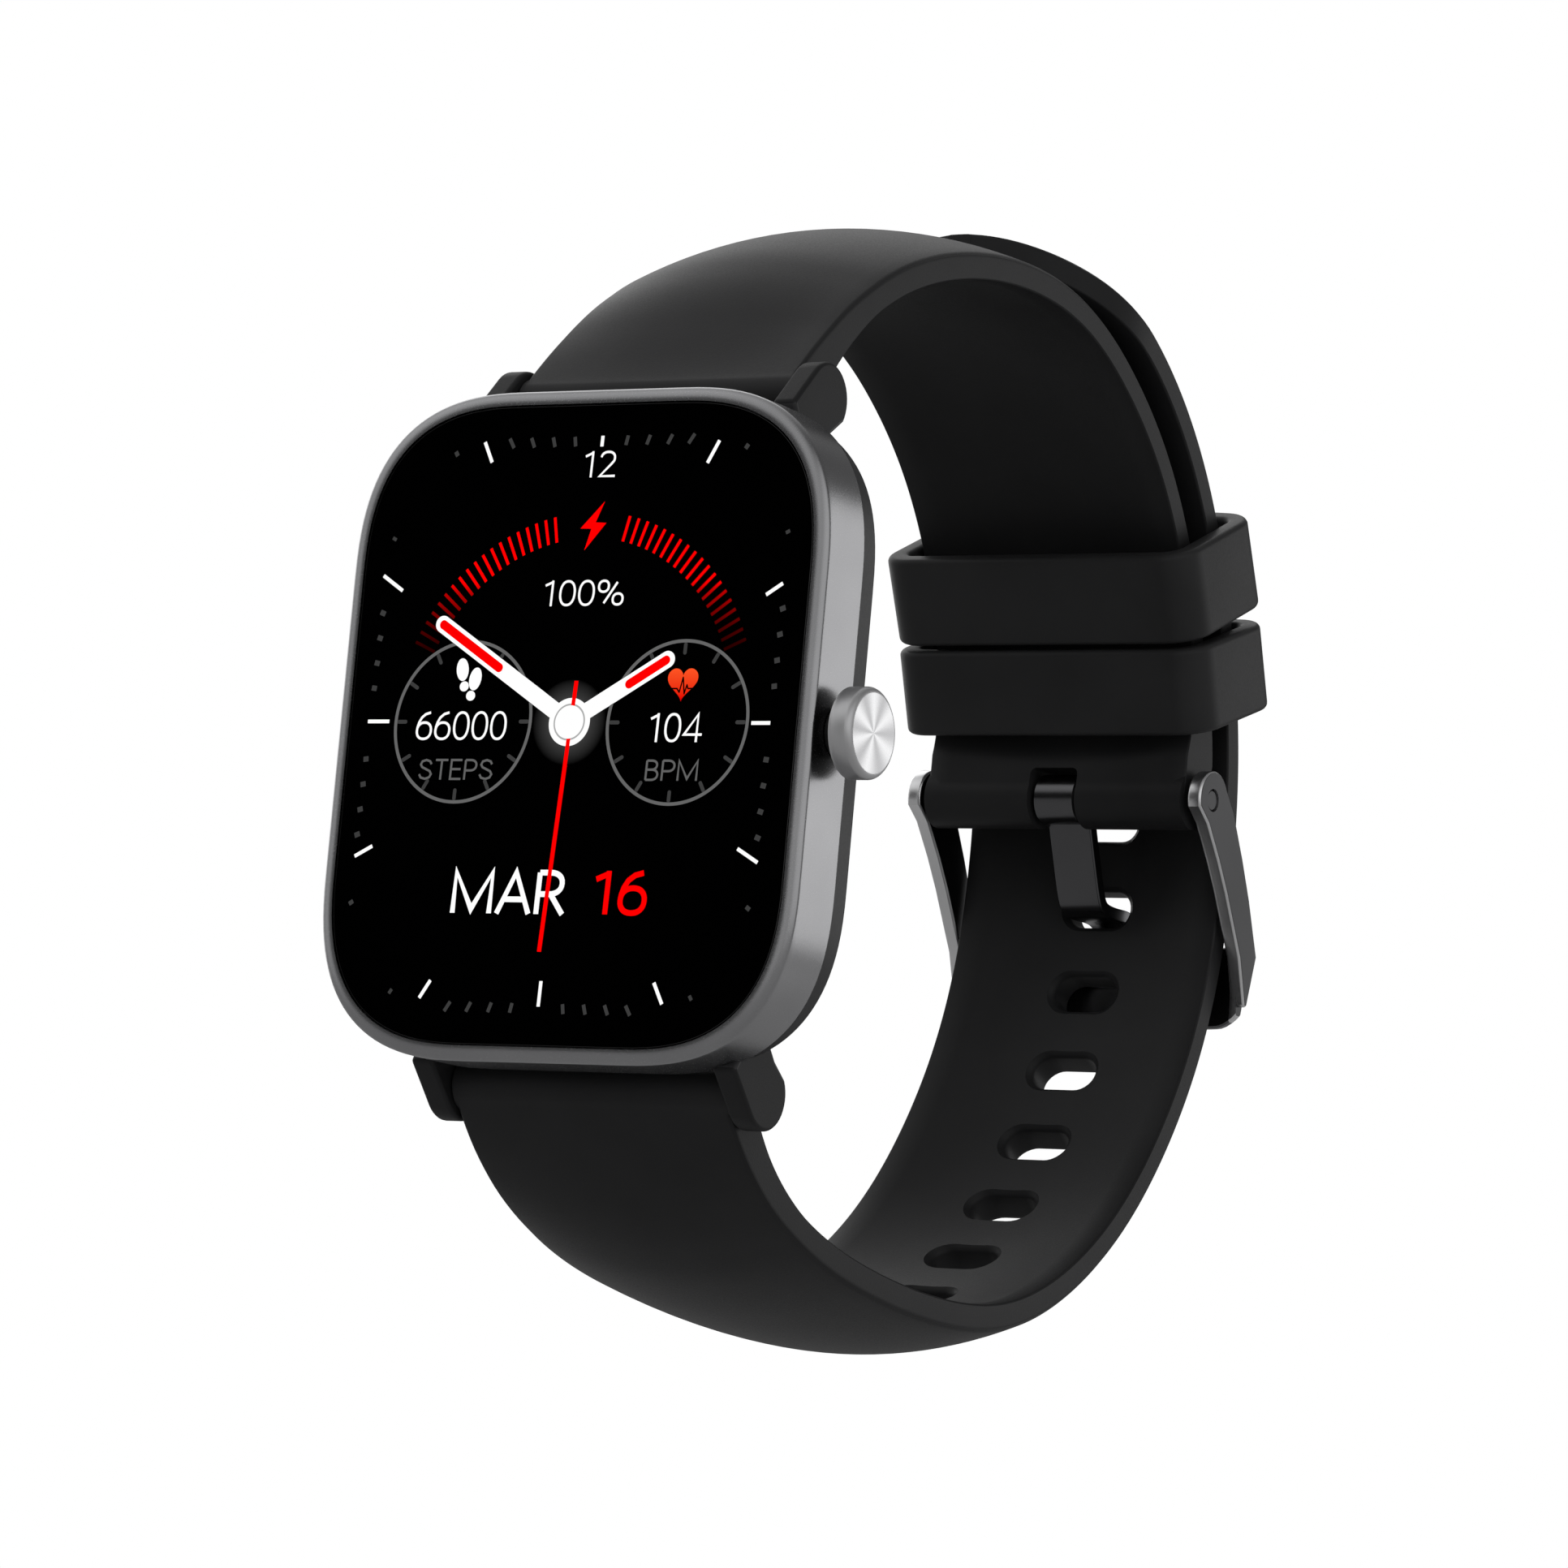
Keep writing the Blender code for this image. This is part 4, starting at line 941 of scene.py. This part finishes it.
# Display picture: hour marks by their outer and inner end, and minute marks by their ends and width
HOUR_MARKS = (
    ((-9.35, 19.2), (-8.6, 17.8)), ((9.36, 18.9), (8.6, 17.4)), ((-16.4, 10.15), (-14.7, 9.1)),
    ((15.5, 9.25), (14.3, 8.5)), ((-16.3, 0.15), (-14.55, 0.15)), ((15.7, 0.0), (14.25, 0.0)),
    ((-16.1, -9.05), (-14.75, -8.35)), ((15.9, -9.2), (14.25, -8.3)), ((-9.5, -18.55), (-8.75, -17.35)),
    ((9.75, -18.6), (8.95, -17.2)), ((0.1, -18.95), (0.1, -17.25)), ((0.1, 19.42), (0.1, 18.7)),
)
SIDE_SHIFT = 0.2
CORNER_MARKS = (((11.45, 18.3), (11.65, 18.6), 0.0, 0.3), ((15.5, 12.6), (15.8, 12.75), SIDE_SHIFT, 0.24),
                ((11.8, -18.0), (12.0, -18.3), 0.0, 0.24), ((15.6, -12.1), (15.9, -12.3), SIDE_SHIFT, 0.3))
# Text: its centre, height, width and the weight of its strokes
WHITE_TEXT = (("12", (0.11, 17.5), 1.8, 2.54, 0.16), ("100%", (0.0, 8.78), 1.77, 6.4, 0.16),
              ("66000", (-8.63, -0.15), 1.96, 7.3, 0.17), ("104", (8.45, -0.3), 1.96, 4.2, 0.17),
              ("MAR", (-3.24, -11.35), 3.05, 9.15, 0.38))
GREY_TEXT = (("STEPS", (-8.68, -3.12), 1.43, 6.0, 0.15), ("BPM", (8.48, -3.14), 1.43, 4.1, 0.15))
# Shoe prints: each oval's centre, half width, half height and lean
SHOE_PRINTS = (((-9.04, 3.66), 0.48, 0.78, 10), ((-8.76, 2.52), 0.36, 0.34, 10),
               ((-7.93, 3.02), 0.48, 0.78, -8), ((-8.16, 1.88), 0.36, 0.34, -8))
SMALL_DIALS = ((-8.55, 0.12), (8.5, 0.05))
HEART_TRACE = ((7.5, 2.3), (8.2, 2.3), (8.4, 2.05), (8.6, 3.05), (8.8, 1.95), (8.95, 2.55), (9.05, 2.3),
               (9.5, 2.3))
# Hands: where they turn, and each hand's tip with the two ends of its inlay
HUB = (0.02, 0.08)
HANDS = (((-11.05, 6.77), (-10.98, 6.73), (-6.1, 3.77)), ((7.2, 4.25), (7.12, 4.2), (4.42, 2.62)))


def spoke(turn, near, far):
    """Two points of the dial, at two distances from its middle in the direction of a turn in degrees."""
    ray = np.array((math.cos(math.radians(turn)), math.sin(math.radians(turn))))
    return ray * near, ray * far


def footprint(centre, half_width, half_height, lean):
    turn = math.radians(lean)
    points = []
    for i in range(28):
        a = 2 * math.pi * i / 28
        u, v = half_width * math.cos(a), half_height * math.sin(a)
        points.append((centre[0] + u * math.cos(turn) - v * math.sin(turn),
                       centre[1] + u * math.sin(turn) + v * math.cos(turn)))
    return points


def make_minute_marks():
    grey = Sheet("dial_minute_marks", glowing("glow_dim", (0.045, 0.045, 0.045)), 1)
    for sign_x in (1, -1):
        for sign_z in (1, -1):
            for i in range(4):
                x = 2.0 + 1.65 * i
                grey.bar((sign_x * x, sign_z * 18.75), (sign_x * (x + 0.06 * x), sign_z * 19.4), 0.26)
                z = 2.4 + 1.7 * i
                grey.bar((sign_x * 15.7 - SIDE_SHIFT, sign_z * z),
                         (sign_x * 16.1 - SIDE_SHIFT, sign_z * (z + 0.02 * z)), 0.36)
        for start, end, shift, width in CORNER_MARKS:
            grey.bar((sign_x * start[0] - shift, start[1]), (sign_x * end[0] - shift, end[1]), width)
    for centre in SMALL_DIALS:
        for i in range(12):
            far, near = spoke(30 * i, 5.2, 4.65)
            grey.capsule(centre + far, centre + near, 0.26)
    grey.done()


def make_dial_marks():
    white = Sheet("dial_hour_marks", glowing("glow_white", WHITE), 1)
    for start, end in HOUR_MARKS:
        white.bar(start, end, 0.25)
    for line in WHITE_TEXT:
        white.text(*line)
    for print_oval in SHOE_PRINTS:
        white.shape(footprint(*print_oval))
    white.done()
    make_minute_marks()
    rings = Sheet("dial_rings", glowing("glow_ring", (0.13, 0.13, 0.13)), 2)
    for centre in SMALL_DIALS:
        rings.ring(centre, 5.55, 5.33)
    rings.done()
    words = Sheet("dial_words", glowing("glow_grey", (0.12, 0.12, 0.12)), 1)
    for line in GREY_TEXT:
        words.text(*line)
    words.done()


def make_battery_arc():
    stops = [(0.1, 0.022), (0.82, 1.0), (0.32, 0.07), (0.52, 0.21), (0.7, 0.46)]
    look = faded("glow_battery", [(position, (red, 0.0, 0.0)) for position, red in stops], 4.6, 10.6)
    bars = Sheet("dial_battery_arc", look, 1)
    for sign in (1, -1):
        for i in range(19):
            bars.bar(*spoke(90 - sign * (12.1 + 3.05 * i), 12.5, 14.25), 0.21)
    bars.done()
    bolt = Sheet("dial_red_marks", glowing("glow_red", RED), 2)
    bolt.shape([(0.85, 14.95), (-0.85, 13.15), (0.02, 13.12), (-0.35, 11.68), (1.15, 13.5), (0.3, 13.55)])
    bolt.text("16", (5.53, -11.3), 3.05, 4.3, 0.38)
    bolt.done()


def make_heart():
    look = faded("glow_heart", [(0.0, (0.8, 0.0, 0.0)), (1.0, (1.0, 0.1, 0.02))], 1.6, 3.9)
    heart = Sheet("dial_heart", look, 1)
    points = []
    for i in range(48):
        t = 2 * math.pi * i / 48
        x = 16 * math.sin(t) ** 3
        z = 13 * math.cos(t) - 5 * math.cos(2 * t) - 2 * math.cos(3 * t) - math.cos(4 * t)
        points.append((8.58 + x * 0.0738, 2.74 + z * 0.076))
    heart.shape(points)
    heart.done()
    trace = Sheet("dial_heart_trace", glowing("glow_black", BLACK, 0.0), 2)
    for start, end in zip(HEART_TRACE, HEART_TRACE[1:]):
        trace.capsule(start, end, 0.1)
    trace.done()


def make_halo():
    """A faint glow on the picture round the hands' hub."""
    made, tree, shader = glow_parts("glow_halo")
    centre, radius = (0.0, HUB[1]), 2.9
    away = new_node(tree, "VectorMath", object_place(tree), world(centre[0], GLASS_FACE, centre[1]))
    away.operation = "DISTANCE"
    fade = new_node(tree, "MapRange", away.outputs["Value"], From_Min=1.5 * MM, From_Max=radius * MM,
                    To_Min=0.045, To_Max=0.0)
    feed(tree, shader.inputs["Emission Strength"], fade.outputs["Result"])
    halo = Sheet("dial_halo", made, 0.5)
    halo.disc(centre, radius)
    halo.done()


def make_hands():
    white = Sheet("dial_hands", glowing("glow_hands", WHITE), 3)
    red = Sheet("dial_hand_inlays", glowing("glow_inlay", RED), 4)
    for tip, near, far in HANDS:
        white.capsule(HUB, tip, 1.15)
        red.capsule(near, far, 0.62)
    white.disc(HUB, 1.62)
    white.done()
    red.bar((0.22, 2.85), (-0.32, -15.3), 0.3)
    red.done()
    rim = Sheet("dial_hub_rim", glowing("glow_hub_rim", (0.42, 0.42, 0.42)), 3.5)
    rim.ring(HUB, 1.24, 1.05)
    rim.done()
    cap = Sheet("dial_hub", glowing("glow_hub", WHITE), 5)
    cap.disc(HUB, 1.12)
    cap.done()


# ---------- inner parts that keep their CAD shape

BAR_NODES = [f"{end}_bar_{piece}" for end in ("upper", "lower")
             for piece in ("tube", "fixed_pin", "release_pin", "spring")]
KEPT = {
    # The crown's stem and tube are near black as painted shade in the gap by the case.
    CROWN_GAP_SHADE: ("crown_stem", "crown_tube"),
    SEAL: ("glass_gasket", "back_seal", "crown_seal"),
    GLASS_BLACK: ("display_panel",),
    STEEL: ("inner_chassis", "vibration_motor", "switch_plunger", "crown_retaining_clip",
            "charge_magnet_1", "charge_magnet_2", "board_screw_1", "board_screw_2", *BAR_NODES),
    BOARD: ("main_board", "sensor_board"),
    FOIL: ("shield_can", "battery", "microphone"),
    FILM: ("display_flex",),
    SWITCH: ("crown_switch", "photodiode"),
    LED: ("sensor_led_1", "sensor_led_2"),
    GOLD: ("charge_contact_1", "charge_contact_2"),
}


def dress_kept_nodes():
    for look, names in KEPT.items():
        for name in names:
            dress(frame["nodes"][name], look)


# ---------- studio

def make_camera():
    azimuth, elevation, roll = (math.radians(angle) for angle in (AZIMUTH, ELEVATION, ROLL))
    back = Vector((math.sin(azimuth) * math.cos(elevation), -math.cos(azimuth) * math.cos(elevation),
                   math.sin(elevation)))
    level = Vector((math.cos(azimuth), math.sin(azimuth), 0.0))
    upright = back.cross(level)
    right = level * math.cos(roll) + upright * math.sin(roll)
    up = upright * math.cos(roll) - level * math.sin(roll)
    data = bpy.data.cameras.new("camera")
    data.lens = LENS
    camera = bpy.data.objects.new("camera", data)
    bpy.context.scene.collection.objects.link(camera)
    place = right * AIM_RIGHT + up * AIM_UP + back * DISTANCE
    turn = Matrix((right, up, back)).transposed().to_4x4()
    camera.matrix_world = Matrix.Translation(world(place.x, place.y, place.z)) @ turn
    bpy.context.scene.camera = camera


def card(name, direction, distance, size, radiance):
    """A soft light card that faces the strap's loop from a direction, with its brightness as a radiance."""
    data = bpy.data.lights.new(name, "AREA")
    data.shape = "RECTANGLE"
    data.size, data.size_y = size
    data.energy = radiance * math.pi * size[0] * size[1]
    light = bpy.data.objects.new(name, data)
    bpy.context.scene.collection.objects.link(light)
    away = Vector(direction).normalized()
    light.location = world(0, LOOP_MIDDLE, 0) + away * distance
    light.rotation_euler = away.to_track_quat("Z", "Y").to_euler()
    light.visible_camera = False


# Room light: where the glass looks, the light from all round, and lobes, each with its direction, the cosines
# where it starts and where it is full, and its radiance
DARK_SIDE = (-0.525, -0.839, 0.136)
ROOM_BASE = 0.12
ROOM_LOBES = (
    ((-0.86, 0.49, 0.14), 0.87, 0.97, 1.1),
    (DARK_SIDE, 0.3, 0.9, 0.4),
    ((0.85, -0.45, 0.1), 0.6, 0.95, 0.6),
    ((-0.53, -0.35, -0.77), 0.75, 0.97, 1.5),
    ((-0.5, 0.15, 0.85), 0.5, 0.95, 0.3),
    ((-0.5, -0.6, -0.55), 0.85, 0.96, 0.7),
    ((0.55, -0.38, -0.74), 0.7, 0.95, 0.8),
    ((-0.53, 0.5, 0.68), 0.88, 0.98, 0.85),
)


def lobe(tree, direction, edge, full, level):
    """A number that rises from 0 to the level as the view turns towards a direction."""
    looking = new_node(tree, "TexCoord").outputs["Generated"]
    toward = new_node(tree, "VectorMath", looking, Vector(direction).normalized())
    toward.operation = "DOT_PRODUCT"
    rise = new_node(tree, "MapRange", toward.outputs["Value"], From_Min=edge, From_Max=full, To_Max=level)
    rise.interpolation_type = "SMOOTHSTEP"
    return rise.outputs["Result"]


def make_world():
    """White behind the object. Reflections see a grey room that is black where the glass looks."""
    sky = bpy.data.worlds.new("studio")
    bpy.context.scene.world = sky
    sky.use_nodes = True
    tree = sky.node_tree
    tree.nodes.clear()
    level = ROOM_BASE
    for one in ROOM_LOBES:
        level = math_node(tree, "ADD", level, lobe(tree, *one))
    open_share = math_node(tree, "SUBTRACT", 1.0, lobe(tree, DARK_SIDE, 0.93, 0.985, 1.0))
    white = (1, 1, 1, 1)
    seen = new_node(tree, "Background", Color=white)
    room = new_node(tree, "Background", Color=white, Strength=math_node(tree, "MULTIPLY", level, open_share))
    is_camera = new_node(tree, "LightPath").outputs["Is Camera Ray"]
    mix = new_node(tree, "MixShader", is_camera, room.outputs["Background"], seen.outputs["Background"])
    new_node(tree, "OutputWorld", mix.outputs["Shader"])


def make_studio():
    make_world()
    card("right_back_card", (0.55, 0.83, 0.17), 0.6, (0.42, 0.34), 0.88)
    bpy.ops.mesh.primitive_plane_add(size=4, location=(0, 0, FLOOR_Z))
    floor = bpy.context.object
    floor.name = "studio_floor"
    dress(floor, grained("pale_floor", (0.5, 0.5, 0.5), 0.6, grain=0.02, spread=0.01))
    bpy.context.scene.view_settings.view_transform = "Standard"


make_camera()
make_studio()
make_middle_frame()
make_glass()
make_back_cover()
make_sensor_window()
make_crown()
make_upper_strap()
make_lower_strap()
make_keepers()
make_buckle_frame()
make_tongue()
make_pin()
make_dial_marks()
make_battery_arc()
make_heart()
make_halo()
make_hands()
dress_kept_nodes()
